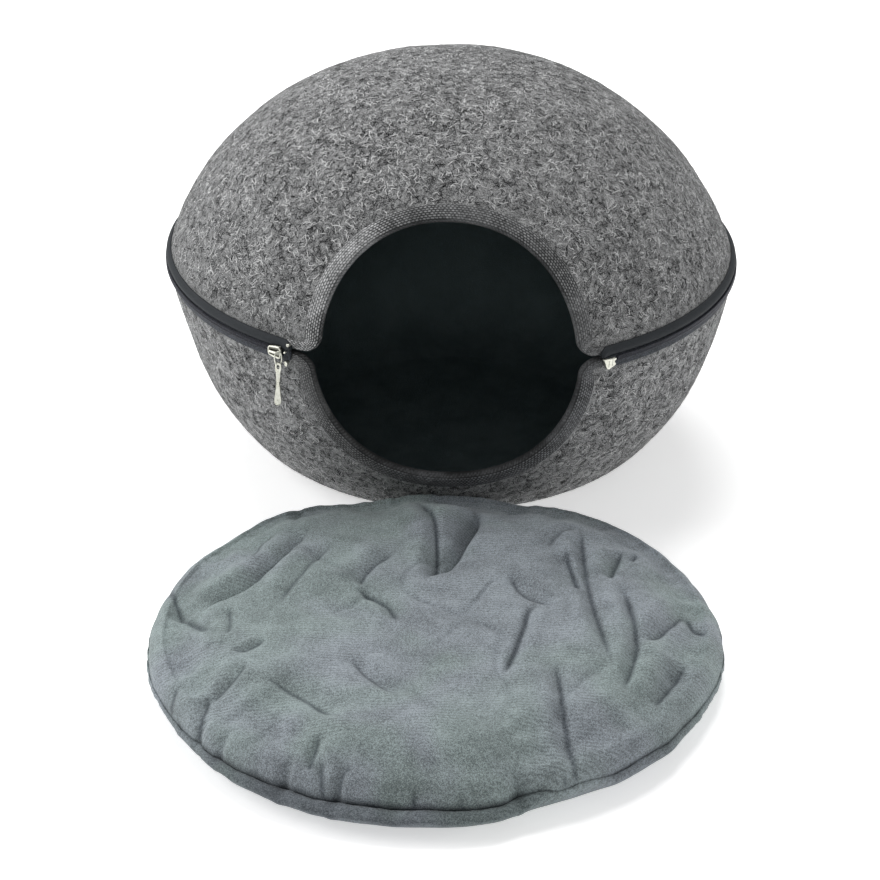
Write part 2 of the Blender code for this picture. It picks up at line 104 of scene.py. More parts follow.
# Mesh fineness
CURVE_POINTS = 900
WAIST_COLUMNS = 300
ARCH_COLUMNS = 110
CORNER_COLUMNS = 12
FELT_ROWS = 94
LINING_ROWS = 20
STRIP_COLUMNS = 400
TAPE_COLUMNS = 500
FIBRES = 21000
FIBRE_STEPS = 4


# ---- shapes ----

def ease(share):
    """Smooth step from 0 to 1."""
    share = np.clip(share, 0.0, 1.0)
    return share * share * (3 - 2 * share)


def points_at(*axes):
    """Points of the given coordinates, each an array or one number."""
    return np.stack(np.broadcast_arrays(*axes), axis=-1)


def unit(vectors):
    """Vectors brought to a length of 1."""
    return vectors / np.linalg.norm(vectors, axis=1)[:, None]


def circle(count):
    """Evenly spaced angles round a whole turn."""
    return np.arange(count) * 2 * pi / count


def lumps(points, size, seed):
    """Smooth 3-D noise from -1 to 1 at each point, with lumps of about a size."""
    shift = Vector((seed * 17.3, seed * 5.1, -seed * 9.7))
    flat = np.asarray(points, dtype=float).reshape(-1, 3) / size
    values = [noise.noise(Vector(p) + shift) for p in flat]
    return np.array(values).reshape(np.shape(points)[:-1])


def layered(points, *layers):
    """The sum of several layers of lumps: the height, size and seed of each."""
    return sum(height * lumps(points, size, seed) for height, size, seed in layers)


def distances(path):
    """Distance of each point of a path from its first one, along the path."""
    step = np.linalg.norm(np.diff(path, axis=0), axis=1)
    return np.concatenate(([0.0], np.cumsum(step)))


def along_path(at, place, path):
    """Points at distances along a flat path, whose own points lie at the distances in place."""
    return points_at(*(np.interp(at, place, axis) for axis in path.T))


def smooth_curve(knots, end_slope):
    """Points along a smooth curve through the knots, which ends along end_slope."""
    knots = np.array(knots)
    chord = np.linalg.norm(np.diff(knots, axis=0), axis=1)
    place = distances(knots)
    slope = np.empty_like(knots)
    slope[1:-1] = (knots[2:] - knots[:-2]) / (place[2:] - place[:-2])[:, None]
    slope[0] = 2 * (knots[1] - knots[0]) / chord[0] - slope[1]
    slope[-1] = end_slope
    at = np.linspace(0.0, place[-1], CURVE_POINTS)
    span = np.clip(np.searchsorted(place, at, side="right") - 1, 0, len(chord) - 1)
    width = chord[span][:, None]
    t = ((at - place[span]) / chord[span])[:, None]
    return (
        (1 + 2 * t) * (1 - t) ** 2 * knots[span]
        + t * (1 - t) ** 2 * width * slope[span]
        + t * t * (3 - 2 * t) * knots[span + 1]
        + t * t * (t - 1) * width * slope[span + 1]
    )


def settle(points):
    """The pod's own slump: the dome leans left, the bowl right, and the waist drops to the right."""
    points = np.array(points, dtype=float)
    rise = points[..., 2] - WAIST_HEIGHT
    points[..., 2] -= WAIST_TILT * points[..., 0] * (1 - (rise / WAIST_HEIGHT) ** 2)
    points[..., 0] -= LEAN * rise / np.hypot(rise, LEAN_HEIGHT)
    return points


def round_pod(radius, azimuth, height):
    """Places round the pod's axis. Azimuth 0 is the doorway's middle."""
    return settle(points_at(radius * np.sin(azimuth), -radius * np.cos(azimuth), height))


class Half:
    """The dome (side +1) or the bowl (side -1), as a surface with an azimuth and a run."""

    def __init__(self, side, section, arch, tape_run):
        self.side = side
        self.tape_run = tape_run
        curve = smooth_curve(section, (-1.0, 0.0))
        self.radius = curve[:, 0]
        self.reach = curve[:, 1]
        self.run = distances(curve)
        # The dome's last ring stays off its pole
        self.last_run = self.run[-1] - (0.003 if side > 0 else 0.0)
        along = unit(np.gradient(curve, self.run, axis=0))
        self.tilt_out = along[:, 1]
        self.tilt_up = -along[:, 0]
        self.columns = self.edge_columns(arch)

    def point(self, azimuth, run, lift):
        """Places at an azimuth, a run and a lift off the outer face. Lift is level at the waist."""
        share = ease(run / RIDGE_RUN)
        out = 1 - share + share * np.interp(run, self.run, self.tilt_out)
        up = share * np.interp(run, self.run, self.tilt_up)
        size = np.hypot(out, up)
        radius = np.interp(run, self.run, self.radius) + lift * out / size
        reach = np.interp(run, self.run, self.reach) + lift * up / size
        return round_pod(radius, azimuth, WAIST_HEIGHT + self.side * reach)

    def edge_columns(self, arch):
        """The felt's edge, as azimuth and run: round the waist from right to left, then over the arch."""
        half_width = arch["half_width"] + BINDING_WEB
        height = arch["height"] + BINDING_WEB
        power = 2 / arch["fullness"]
        corner = FELT_EDGE_RUN + CORNER_RADIUS
        first = asin((corner / height) ** (1 / power))
        turns = np.linspace(first, pi - first, ARCH_COLUMNS)[::-1]
        over_x = half_width * np.sign(np.cos(turns)) * np.abs(np.cos(turns)) ** power
        over_rise = height * np.sin(turns) ** power
        bends = np.linspace(0.0, pi / 2, CORNER_COLUMNS + 1)[1:]
        bend_x = over_x[-1] + CORNER_RADIUS * (1 - np.cos(bends))
        bend_rise = corner - CORNER_RADIUS * np.sin(bends)
        x = arch["centre"] + np.concatenate([-bend_x[::-1], over_x, bend_x])
        rise = np.concatenate([bend_rise[::-1], over_rise, bend_rise])
        run = np.interp(rise, self.reach, self.run)
        azimuth = 2 * pi + np.arcsin(x / np.interp(run, self.run, self.radius))
        waist = np.linspace(ZIP_START, ZIP_END, WAIST_COLUMNS)
        waist_run = np.full(WAIST_COLUMNS, FELT_EDGE_RUN)
        return np.concatenate([waist, azimuth]), np.concatenate([waist_run, run])

    def inland(self, width):
        """Azimuth and run of each edge column moved into the felt by a width."""
        azimuth, run = self.columns
        full_turn = 2 * pi
        ahead = np.append(azimuth[1:], azimuth[0] + full_turn)
        behind = np.insert(azimuth[:-1], 0, azimuth[-1] - full_turn)
        radius = np.interp(run, self.run, self.radius)
        across = radius * (ahead - behind)
        along = np.roll(run, -1) - np.roll(run, 1)
        size = np.hypot(across, along)
        return azimuth - width * along / size / radius, run + width * across / size

    def grid(self, rows):
        """Azimuth and run of rows from the felt's edge to a ring round the middle."""
        azimuth, run = self.columns
        at_waist = np.arange(len(run)) < WAIST_COLUMNS
        hem = np.where(at_waist, FELT_HEM_RUN - FELT_EDGE_RUN, BINDING_WIDTH)
        hem_azimuth, hem_run = self.inland(hem)
        even = azimuth.mean() + 2 * pi * ((np.arange(len(run)) + 0.5) / len(run) - 0.5)
        azimuths, runs = [], []
        for share in (0.0, 0.3, 0.65):
            azimuths.append(azimuth + (hem_azimuth - azimuth) * share)
            runs.append(run + (hem_run - run) * share)
        for share in np.linspace(0.0, 1.0, rows):
            azimuths.append(hem_azimuth + (even - hem_azimuth) * ease(share))
            runs.append(hem_run + (self.last_run - hem_run) * share)
        return np.array(azimuths), np.array(runs)


def ring_faces(rings, columns, looped=False):
    """Quads between closed rings of points that are laid out one ring after another."""
    here = np.arange(rings if looped else rings - 1)[:, None] * columns
    there = (here + columns) % (rings * columns)
    column = np.arange(columns)
    beside = (column + 1) % columns
    quads = (here + column, here + beside, there + beside, there + column)
    return np.stack(quads, axis=-1).reshape(-1, 4).tolist()


def swept(rings, looped=False):
    """Points and faces of a body swept through rings of points, its ends capped if it isn't looped."""
    rings = np.asarray(rings)
    count, columns = rings.shape[:2]
    faces = ring_faces(count, columns, looped)
    if not looped:
        faces.append(list(range(columns))[::-1])
        faces.append(list(range((count - 1) * columns, count * columns)))
    return rings.reshape(-1, 3), faces


def joined(parts):
    """Several meshed parts as one list of points and one of faces."""
    verts, faces, start = [], [], 0
    for points, part_faces in parts:
        verts.append(points)
        faces += [[start + index for index in face] for face in part_faces]
        start += len(points)
    return np.concatenate(verts), faces


def placed(name, data):
    """An object of its data, in the scene."""
    obj = bpy.data.objects.new(name, data)
    bpy.context.scene.collection.objects.link(obj)
    return obj


def mesh_object(name, verts, faces, finishes, slots=None, attributes=None):
    """A smooth-shaded mesh object with its materials and point attributes."""
    mesh = bpy.data.meshes.new(name)
    mesh.from_pydata(np.asarray(verts).tolist(), [], faces)
    for finish in finishes:
        mesh.materials.append(finish)
    if slots is not None:
        mesh.polygons.foreach_set("material_index", np.asarray(slots, dtype=np.int32))
    for title, values in (attributes or {}).items():
        layer = mesh.attributes.new(title, "FLOAT", "POINT")
        layer.data.foreach_set("value", np.asarray(values, dtype=np.float32).ravel())
    mesh.update()
    mesh.shade_smooth()
    return placed(name, mesh)


def closed_object(name, body, finishes, slots=None, attributes=None):
    """An object of a closed body's points and faces, with the faces turned to point out."""
    obj = mesh_object(name, *body, finishes, slots, attributes)
    bm = bmesh.new()
    bm.from_mesh(obj.data)
    bmesh.ops.recalc_face_normals(bm, faces=bm.faces)
    bm.to_mesh(obj.data)
    bm.free()
    return obj


def finished(obj, slot, *nodes):
    """Tie a piece to the pod's body and hide the CAD nodes that it stands for. slot is not used."""
    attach(obj, "root")
    if nodes:
        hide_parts(*nodes)
    return obj


def piece(name, body, finishes, slot, *nodes, **layers):
    """A finished piece of a closed body."""
    return finished(closed_object(name, body, finishes, **layers), slot, *nodes)


# ---- materials ----

class Nodes:
    """A small writer of node materials on object coordinates."""

    def __init__(self, name):
        self.material = bpy.data.materials.new(name)
        self.material.use_nodes = True
        self.tree = self.material.node_tree
        self.shader = self.tree.nodes["Principled BSDF"]
        self.place = self.tree.nodes.new("ShaderNodeTexCoord").outputs["Object"]

    def put(self, socket, value):
        if isinstance(value, bpy.types.NodeSocket):
            self.tree.links.new(value, socket)
        else:
            socket.default_value = value

    def fill(self, node, values):
        for title, value in values.items():
            self.put(node.inputs[title.replace("_", " ")], value)
        return node

    def add(self, kind, **values):
        return self.fill(self.tree.nodes.new("ShaderNode" + kind), values)

    def set(self, **values):
        self.fill(self.shader, values)

    def noise(self, scale, detail=2.0, roughness=0.5, distortion=0.0, place=None):
        shape = {"Scale": scale, "Detail": detail, "Roughness": roughness, "Distortion": distortion}
        return self.add("TexNoise", Vector=place or self.place, **shape).outputs["Fac"]

    def stretched(self, scale, turn=(0.0, 0.0, 0.0)):
        return self.add("Mapping", Vector=self.place, Scale=scale, Rotation=turn).outputs["Vector"]

    def axis(self, letter):
        return self.add("SeparateXYZ", Vector=self.place).outputs[letter]

    def math(self, operation, first, second=0.0):
        node = self.add("Math")
        node.operation = operation
        self.put(node.inputs[0], first)
        self.put(node.inputs[1], second)
        return node.outputs[0]

    def total(self, *parts):
        """The weighted sum of pairs of a value and its weight."""
        terms = [self.math("MULTIPLY", value, weight) for value, weight in parts]
        whole = terms[0]
        for term in terms[1:]:
            whole = self.math("ADD", whole, term)
        return whole

    def spread(self, value, low, high, to_low=0.0, to_high=1.0):
        """A value's range from low to high, spread smoothly over another range."""
        node = self.add("MapRange", Value=value, From_Min=low, From_Max=high, To_Min=to_low, To_Max=to_high)
        node.interpolation_type = "SMOOTHSTEP"
        return node.outputs["Result"]

    def mix(self, share, first, second, blend="MIX"):
        node = self.add("Mix")
        node.data_type = "RGBA"
        node.blend_type = blend
        self.put(node.inputs["Factor"], share)
        colours = [socket for socket in node.inputs if socket.type == "RGBA"]
        for socket, value in zip(colours, (first, second)):
            self.put(socket, (*value, 1.0) if isinstance(value, tuple) else value)
        return [socket for socket in node.outputs if socket.type == "RGBA"][0]

    def darker(self, share, colour, tint):
        """A colour, multiplied by a tint to a degree."""
        return self.mix(share, colour, self.mix(1.0, colour, tint, "MULTIPLY"))

    def attribute(self, title):
        node = self.add("Attribute")
        node.attribute_name = title
        return node.outputs["Fac"]

    def bump(self, height, strength, distance):
        return self.add("Bump", Height=height, Strength=strength, Distance=distance).outputs["Normal"]


def felt_material(name, mottle, low, high):
    """Heathered grey wool felt: tangled pale and dark fibres over cloudy patches."""
    n = Nodes(name)
    cloud = n.spread(n.noise(100, 3, 0.6, 1.0), 0.36, 0.64)
    patch = n.spread(n.noise(260, 3, 0.6, 1.4), 0.36, 0.64)
    grain = n.spread(n.noise(640, 2, 0.6, 2.0), 0.38, 0.62)
    fine = n.spread(n.noise(1250, 1, 0.5, 1.6), 0.38, 0.62)
    tone = n.total((cloud, mottle), (patch, 0.18), (grain, 0.34), (fine, 0.60))
    colour = n.mix(n.spread(tone, low, high), (0.005, 0.0055, 0.006), (0.352, 0.357, 0.359))
    strands = []
    for scale, bend in ((230, 2.6), (340, 3.2)):
        away = n.math("ABSOLUTE", n.math("SUBTRACT", n.noise(scale, 1, 0.5, bend), 0.5))
        strands.append(n.spread(away, 0.010, 0.055, 1.0, 0.0))
    curls = n.math("MAXIMUM", *strands)
    matted = n.math("MULTIPLY", curls, n.spread(n.noise(150, 2, 0.6), 0.43, 0.59, 0.06, 0.80))
    colour = n.mix(matted, colour, (0.520, 0.525, 0.525))
    height = n.total((grain, 0.35), (fine, 0.30), (matted, 0.55))
    n.set(Base_Color=colour, Roughness=0.95, Normal=n.bump(height, 0.85, 0.0009))
    n.set(Sheen_Weight=0.10, Sheen_Roughness=0.6, Specular_IOR_Level=0.10)
    return n.material


def fibre_material(name, colour):
    """One shade of loose wool fibre."""
    n = Nodes(name)
    dark = tuple(part * 0.75 for part in colour)
    n.set(Base_Color=n.mix(n.noise(900, 1), dark, colour), Roughness=0.9, Specular_IOR_Level=0.1)
    return n.material


def lining_material():
    """Near-black brushed lining, with painted shade: darker on the ground than up the wall."""
    n = Nodes("black_lining")
    cloud = n.spread(n.noise(28, 3, 0.6), 0.3, 0.7)
    nap = n.noise(900, 2, 0.6)
    low = n.mix(cloud, (0.100, 0.131, 0.136), (0.140, 0.174, 0.181))
    high = n.mix(cloud, (0.175, 0.224, 0.232), (0.205, 0.260, 0.270))
    # Painted shade: the lining darkens below 5 cm, on the bowl's floor
    colour = n.mix(n.spread(n.axis("Z"), 0.0, 0.05), low, high)
    n.set(Base_Color=colour, Roughness=0.95, Normal=n.bump(nap, 0.5, 0.0006), Specular_IOR_Level=0.05)
    return n.material


def binding_material(name, pale, plain):
    """Heathered woven tape, pale yarn over dark, with painted light: its palest stretch lies at the left, as
    if lit from that side.
    """
    n = Nodes(name)
    weave = n.attribute("weave")
    yarn = n.noise(560, 2, 0.6, 0.8)
    patch = n.noise(75, 2, 0.5)
    worn = n.spread(n.noise(22, 2, 0.5), 0.36, 0.62)
    woven = n.mix(worn, n.spread(weave, -0.30, 1.0), n.spread(weave, 0.08, 0.82))
    yarn_shows = n.math("MULTIPLY", woven, n.spread(yarn, 0.34, 0.56, 0.35, 1.0))
    yarn_shows = n.math("MULTIPLY", yarn_shows, n.spread(patch, 0.32, 0.62, 0.65, 1.0))
    # Painted light: the binding is palest left of x -0.08 and plain right of -0.03, as if lit from the left
    bright = n.mix(n.spread(n.axis("X"), -0.080, -0.030), (pale, pale * 1.01, pale * 1.02), plain)
    colour = n.mix(yarn_shows, (0.020, 0.0205, 0.021), bright)
    n.set(Base_Color=colour, Roughness=0.8, Normal=n.bump(yarn, 0.35, 0.0005), Specular_IOR_Level=0.2)
    return n.material


def zip_cloth_material(name, grain):
    """Dark navy zip tape with a fine close weave, whose pale specks show to a degree."""
    n = Nodes(name)
    weave = n.noise(1, 2, 0.6, 0.0, n.stretched((1500.0, 1500.0, 900.0)))
    colour = n.mix(n.noise(60, 2, 0.5), (0.0130, 0.0165, 0.0190), (0.0215, 0.0245, 0.0280))
    speck = n.spread(n.noise(800, 1, 0.5), 0.44, 0.62, 0.0, grain)
    colour = n.mix(speck, colour, (0.075, 0.082, 0.105))
    n.set(Base_Color=colour, Roughness=0.75, Normal=n.bump(weave, 0.3, 0.0003), Specular_IOR_Level=0.28)
    return n.material


def nylon_material():
    """Dark nylon coil."""
    n = Nodes("zip_nylon")
    cloud = n.spread(n.noise(700, 2, 0.5), 0.35, 0.65)
    colour = n.mix(cloud, (0.010, 0.011, 0.018), (0.034, 0.037, 0.052))
    n.set(Base_Color=colour, Roughness=0.38, Specular_IOR_Level=0.5)
    return n.material


def metal_material(name, share):
    """Nickel plate with faint handling marks, at a share of its full brightness; a low share paints shade."""
    n = Nodes(name)
    wear = n.noise(260, 4, 0.65)
    low = (0.52 * share, 0.52 * share, 0.45 * share)
    high = (0.68 * share, 0.68 * share, 0.61 * share)
    n.set(Base_Color=n.mix(n.spread(wear, 0.35, 0.65), low, high), Metallic=1.0)
    n.set(Roughness=n.spread(wear, 0.3, 0.7, 0.24, 0.42), Normal=n.bump(n.noise(1400, 2), 0.08, 0.0003))
    return n.material


def plush_material():
    """Short blue-grey plush: fine knitted rows and a speckled nap, with painted shade along its creases,
    crinkles and seam groove and on its rim's band.
    """
    n = Nodes("blue_grey_plush")
    brushed = n.noise(9, 2, 0.5, 0.4)
    cloud = n.noise(38, 3, 0.6, 0.5)
    pile = n.spread(n.noise(1350, 1, 0.5, 0.8), 0.36, 0.64)
    tuft = n.spread(n.noise(560, 2, 0.6, 0.8), 0.36, 0.64)
    turned = n.stretched((1.0, 1.0, 1.0), (0.0, 0.0, 0.03))
    knit = n.add("TexWave", Vector=turned, Scale=98.0, Distortion=0.9, Detail=1.0, Detail_Scale=2.0)
    knit.bands_direction = "Y"
    rows = n.math("MULTIPLY", knit.outputs["Fac"], n.spread(n.noise(13, 2, 0.5), 0.42, 0.60))
    tint = n.mix(n.spread(brushed, 0.40, 0.60), (0.217, 0.260, 0.258), (0.226, 0.252, 0.274))
    tone = n.total((cloud, 0.52), (tuft, 0.17), (rows, 0.14), (pile, 0.42))
    colour = n.mix(1.0, tint, n.spread(tone, 0.24, 0.98, 0.48, 1.44), "MULTIPLY")
    # Painted shade: the rim's band and underside are darker, most at the front where the rim turns down
    colour = n.darker(n.attribute("band"), colour, (0.63, 0.63, 0.64))
    # Painted shade: darker along the crease lines, in the random crinkles and in the seam groove
    colour = n.darker(n.attribute("fold"), colour, (0.30, 0.31, 0.33))
    height = n.total((tuft, 0.45), (rows, 0.20), (pile, 0.35))
    n.set(Base_Color=colour, Roughness=0.9, Normal=n.bump(height, 0.5, 0.0008), Specular_IOR_Level=0.1)
    n.set(Sheen_Weight=0.25, Sheen_Roughness=0.45, Sheen_Tint=(0.85, 0.90, 0.92, 1.0))
    return n.material


def floor_material():
    """Plain pale paper that glows: painted light that lifts the cast shadows and lights the pod from below.
    """
    n = Nodes("glowing_pale_floor")
    n.set(Base_Color=n.mix(n.noise(6, 2), (0.93, 0.93, 0.93), (0.95, 0.95, 0.95)), Roughness=0.9)
    # Painted light: the floor's glow
    n.set(Specular_IOR_Level=0.1, Emission_Strength=0.46, Emission_Color=(1.0, 1.0, 1.0, 1.0))
    return n.material


# ---- pod ----

# Unevenness of the felt's outer face: height, size and seed of each layer of lumps
FELT_SAG = ((0.0011, 0.085, 1.0), (0.0006, 0.034, 2.0))
FELT_NAP = (0.00030, 0.0085, 3.0)
# Clumps of pale and of dark fibres, in the same way
FIBRE_CLUMPS = ((0.75, 0.010, 31.0), (0.7, 0.0045, 32.0))
# A clump value above the first of these is pale, and one above the second is mid grey
PALE_FROM = 0.09
MID_FROM = 0.0
# Fibres stay this far above the ground
FIBRE_GROUND = 0.004


def thinned(azimuth, run, count):
    """About as many rows of a grid as asked, evenly spaced, with the first and the last."""
    rows = np.unique(np.linspace(0, len(run) - 1, count).astype(int))
    return azimuth[rows], run[rows]


def cup(half, outer, inner, lifts):
    """A closed cup between the rows of its two faces, with a point at each face's middle."""
    rings = np.concatenate([outer[::-1], inner])
    columns = rings.shape[1]
    middles = half.point(np.zeros(2), np.full(2, half.run[-1]), np.array(lifts)) * (0.0, 0.0, 1.0)
    middles[:, 0] = outer[-1, :, 0].mean()
    verts = np.concatenate([rings.reshape(-1, 3), middles])
    faces = ring_faces(len(rings), columns)
    last = (len(rings) - 1) * columns
    for column in range(columns):
        beside = (column + 1) % columns
        faces.append((len(verts) - 2, beside, column))
        faces.append((len(verts) - 1, last + column, last + beside))
    return verts, faces


def felt(name, half, node, finish):
    """One whole half of the pod in felt: a finely uneven outer face and a plain inner one."""
    azimuth, run = half.grid(FELT_ROWS)
    flat = half.point(azimuth, run, 0.0)
    far = ease((run - FELT_EDGE_RUN) / 0.030)
    ground = 1.0 if half.side > 0 else ease((flat[..., 2] - 0.004) / 0.03)
    lift = (far * layered(flat, *FELT_SAG) + layered(flat, FELT_NAP)) * ground
    outer = half.point(azimuth, run, lift)
    inner = half.point(*thinned(azimuth, run, 16), -FELT)
    return piece(name, cup(half, outer, inner, (0.0, -FELT)), [finish], "felt", node), outer


def fibres(name, outer, seed, finishes):
    """Loose curled wool fibres lying on the outer face, as narrow ribbons."""
    rng = np.random.default_rng(seed)
    grid = outer[4:]
    beside = np.roll(grid, -1, axis=1)
    a, b, c, d = (part.reshape(-1, 3) for part in (grid[:-1], beside[:-1], beside[1:], grid[1:]))
    normal = np.cross(b - a, d - a)
    size = np.linalg.norm(normal, axis=1)
    share = size * (a[:, 2] > FIBRE_GROUND)
    chosen = rng.choice(len(size), FIBRES, p=share / share.sum())
    a, b, c, d = (part[chosen] for part in (a, b, c, d))
    u, v = rng.random((2, FIBRES, 1))
    start = (a * (1 - u) + b * u) * (1 - v) + (d * (1 - u) + c * u) * v
    up = normal[chosen] / size[chosen][:, None]
    centre = np.array([0.0, 0.0, WAIST_HEIGHT])
    up *= np.sign(((start - centre) * up).sum(axis=1))[:, None]
    side = unit(np.cross(up, b - a))
    front = np.cross(side, up)
    clump = layered(start, *FIBRE_CLUMPS) + rng.normal(0.0, 0.30, FIBRES)
    shade = np.where(clump > PALE_FROM, 0, np.where(clump > MID_FROM, 1, 2))
    heading = rng.uniform(0, 2 * pi, FIBRES)
    bend = rng.normal(0.0, 0.60, FIBRES)
    wobble = rng.normal(0.0, 0.35, FIBRES)
    length = rng.uniform(0.0035, 0.0085, FIBRES)
    width = rng.uniform(0.00016, 0.00032, FIBRES)
    loft = rng.uniform(0.00005, 0.0006, FIBRES) * np.where(shade == 2, 0.3, 1.0)
    place = start.copy()
    lines = []
    for step in range(FIBRE_STEPS + 1):
        arch = sin(pi * step / FIBRE_STEPS)
        across = np.cos(heading)[:, None] * side + np.sin(heading)[:, None] * front
        sideways = np.cross(up, across) * (width * (0.35 + 0.65 * arch))[:, None]
        raised = place + up * (0.0001 + loft * arch)[:, None]
        lines += [raised - sideways, raised + sideways]
        place = place + across * (length / FIBRE_STEPS)[:, None]
        heading = heading + bend + wobble * (step % 2 * 2 - 1)
    verts = np.stack(lines, axis=1).reshape(-1, 3)
    quads = 2 * np.arange(FIBRE_STEPS)[:, None] + (0, 1, 3, 2)
    base = np.arange(FIBRES) * len(lines)
    faces = (base[:, None, None] + quads).reshape(-1, 4)
    slots = np.repeat(shade, FIBRE_STEPS)
    return finished(mesh_object(name, verts, faces.tolist(), finishes, slots=slots), "felt")


def lining(name, half, node, finish):
    """The black inner face of one half."""
    azimuth, run = half.grid(LINING_ROWS)
    top = -(FELT + PIECE_GAP)
    puff = 0.0009 * (lumps(half.point(azimuth, run, top), 0.05, 5.0) - 1.0) * ease(run / 0.04)
    outside = half.point(*thinned(azimuth, run, 8), top)
    inside = half.point(azimuth, run, top - LINING + puff)
    return piece(name, cup(half, outside, inside, (top, top - LINING)), [finish], "lining", node)


def waist_facing(finish):
    """Dark strip of lining sewn inside the waist, over the joint of the two halves."""
    azimuth = np.linspace(ZIP_START, ZIP_END, STRIP_COLUMNS)
    back = WAIST_RADIUS - FELT - LINING - 3 * PIECE_GAP
    section = ((back, -0.0075), (back - 0.0025, 0.0075), (back - 0.0031, 0.0070), (back - 0.0006, -0.0070))
    rings = [round_pod(radius, azimuth, WAIST_HEIGHT + rise) for radius, rise in section]
    return piece("waist_facing", swept(np.stack(rings, axis=1)), [finish], "lining")


# The binding's weave: length of a stitch, width of a row of them, and how far it stands out
STITCH = 0.0030
WEAVE_ROW = 0.0020
WEAVE_RELIEF = 0.00022
BINDING_STEP = 0.00055
# Share of its width that the binding keeps where it passes under the zip, and over what length it opens out
BINDING_PINCH = 0.42
PINCH_RUN = (0.006, 0.030)


def binding_section():
    """The folded tape's section: width inland of the felt's edge and lift off its outer face."""
    inside = -(FELT + LINING + 2 * PIECE_GAP)
    section = [(BINDING_WIDTH + 0.0003, PIECE_GAP + 0.0001)]
    for t in np.linspace(0.0, 1.0, 25):
        section.append((BINDING_WIDTH * (1 - t), BINDING_WEB + 0.0007 * sin(pi * t) ** 0.6))
    section += [(-0.0008, 0.0010), (-BINDING_WEB, 0.0001), (-BINDING_WEB - 0.0002, -0.0022)]
    section += [(-BINDING_WEB, inside + 0.0002), (-0.0008, inside - 0.0008), (0.0, inside - TAPE)]
    section += [(BINDING_WIDTH * t, inside - TAPE) for t in (0.25, 0.5, 0.75, 1.0)]
    section += [(BINDING_WIDTH, inside), (-PIECE_GAP, inside), (-PIECE_GAP, PIECE_GAP)]
    section += [(BINDING_WIDTH, PIECE_GAP)]
    return section


def weave_row(fine, column):
    """How far the yarn shows along the tape, in a column of its weave."""
    row = int(column)
    spot = points_at(fine, WEAVE_ROW * row, 0.0)
    slip = 0.8 * lumps(spot, 0.016, 8.0)
    rib = 0.80 + 0.50 * np.cos(2 * pi * (fine / STITCH + 0.5 * (row % 2) + slip))
    strength = 0.85 + 0.40 * lumps(spot, 0.0030, 9.0)
    return np.clip(rib, 0.0, 1.0) * strength * sin(pi * (column % 1.0)) ** 1.1


def binding(name, half, node, finish):
    """Woven tape folded over the doorway's edge, with its weave standing in relief."""
    azimuth, run = half.columns
    first = WAIST_COLUMNS - 1
    edge = half.point(azimuth, run, 0.0)
    length = distances(np.concatenate([edge[first:], edge[:1]]))
    fine = np.linspace(0.0, length[-1], int(length[-1] / BINDING_STEP))
    from_end = np.minimum(length, length[-1] - length)
    opened = ease((from_end - PINCH_RUN[0]) / PINCH_RUN[1])
    narrow = np.ones(len(run))
    narrow[first:] = (BINDING_PINCH + (1 - BINDING_PINCH) * opened)[:-1]
    narrow[0] = BINDING_PINCH
    section = binding_section()
    across = distances(np.array(section))
    lines, weave = [], []
    for (width, lift), reached in zip(section, across):
        side_azimuth, side_run = half.inland(width * narrow if width > 0 else width)
        side_azimuth = np.append(side_azimuth[first:], side_azimuth[0] + 2 * pi)
        side_run = np.append(side_run[first:], side_run[0])
        row = weave_row(fine, reached / WEAVE_ROW) * (0.45 if width < 0 else 1.0)
        out = WEAVE_RELIEF * row if width > 0 and lift > 0.0004 else 0.0
        place = np.interp(fine, length, side_azimuth), np.interp(fine, length, side_run)
        lines.append(half.point(*place, lift + out))
        weave.append(row)
    body = swept(np.stack(lines, axis=1))
    return piece(name, body, [finish], "binding", node, attributes={"weave": np.stack(weave, axis=1)})


def zip_tape(name, half, node, finish):
    """Zip tape sewn outside the felt's waist edge: the upper one rolls over, the lower one lies flat."""
    right, left = np.radians(TAPE_OVERRUNS[half.side])
    azimuth = np.linspace(ZIP_START - right, ZIP_END + left, TAPE_COLUMNS)
    from_end = np.minimum(azimuth - azimuth[0], azimuth[-1] - azimuth) / TAPE_END
    raised = 0.0017 * ease(1.25 - from_end / 1.8)
    narrow = 1 - 0.42 * ease(1 - from_end)
    span = half.tape_run - PIECE_GAP
    crown = 0.0022 if half.side > 0 else 0.0003
    section = []
    for t in np.linspace(0.0, 1.0, 12):
        section.append((PIECE_GAP + span * t, BINDING_WEB + crown * sin(pi * t) ** 0.6))
    section += [(run, PIECE_GAP) for run in (half.tape_run, FELT_EDGE_RUN, PIECE_GAP)]
    lines = []
    for run, lift in section:
        place = half.point(azimuth, run * narrow, lift)
        wave = 0.00025 * lumps(place, 0.030, 7.0) if lift > PIECE_GAP else 0.0
        crumple = 0.6 * raised * lumps(place, 0.0030, 21.0)
        lines.append(half.point(azimuth, run * narrow, lift + wave + raised + crumple))
    return piece(name, swept(np.stack(lines, axis=1)), [finish], "zip_tape", node)


TOOTH_PITCH = 0.00135
TOOTH_SIDES = 5
# Rings of a tooth: rise over the coil's middle, radius, depth off its seat
TOOTH_RINGS = (
    (-0.0005, 0.00030, 0.0007),
    (0.0002, 0.00052, 0.0011),
    (0.0019, 0.00046, 0.0012),
    (0.0027, 0.00022, 0.0007),
)
# Section of the flat cord behind the teeth: depth off the seat, rise
TOOTH_CORD = ((-0.0002, -0.0022), (0.0004, -0.0018), (0.0004, 0.0018), (-0.0002, 0.0022))


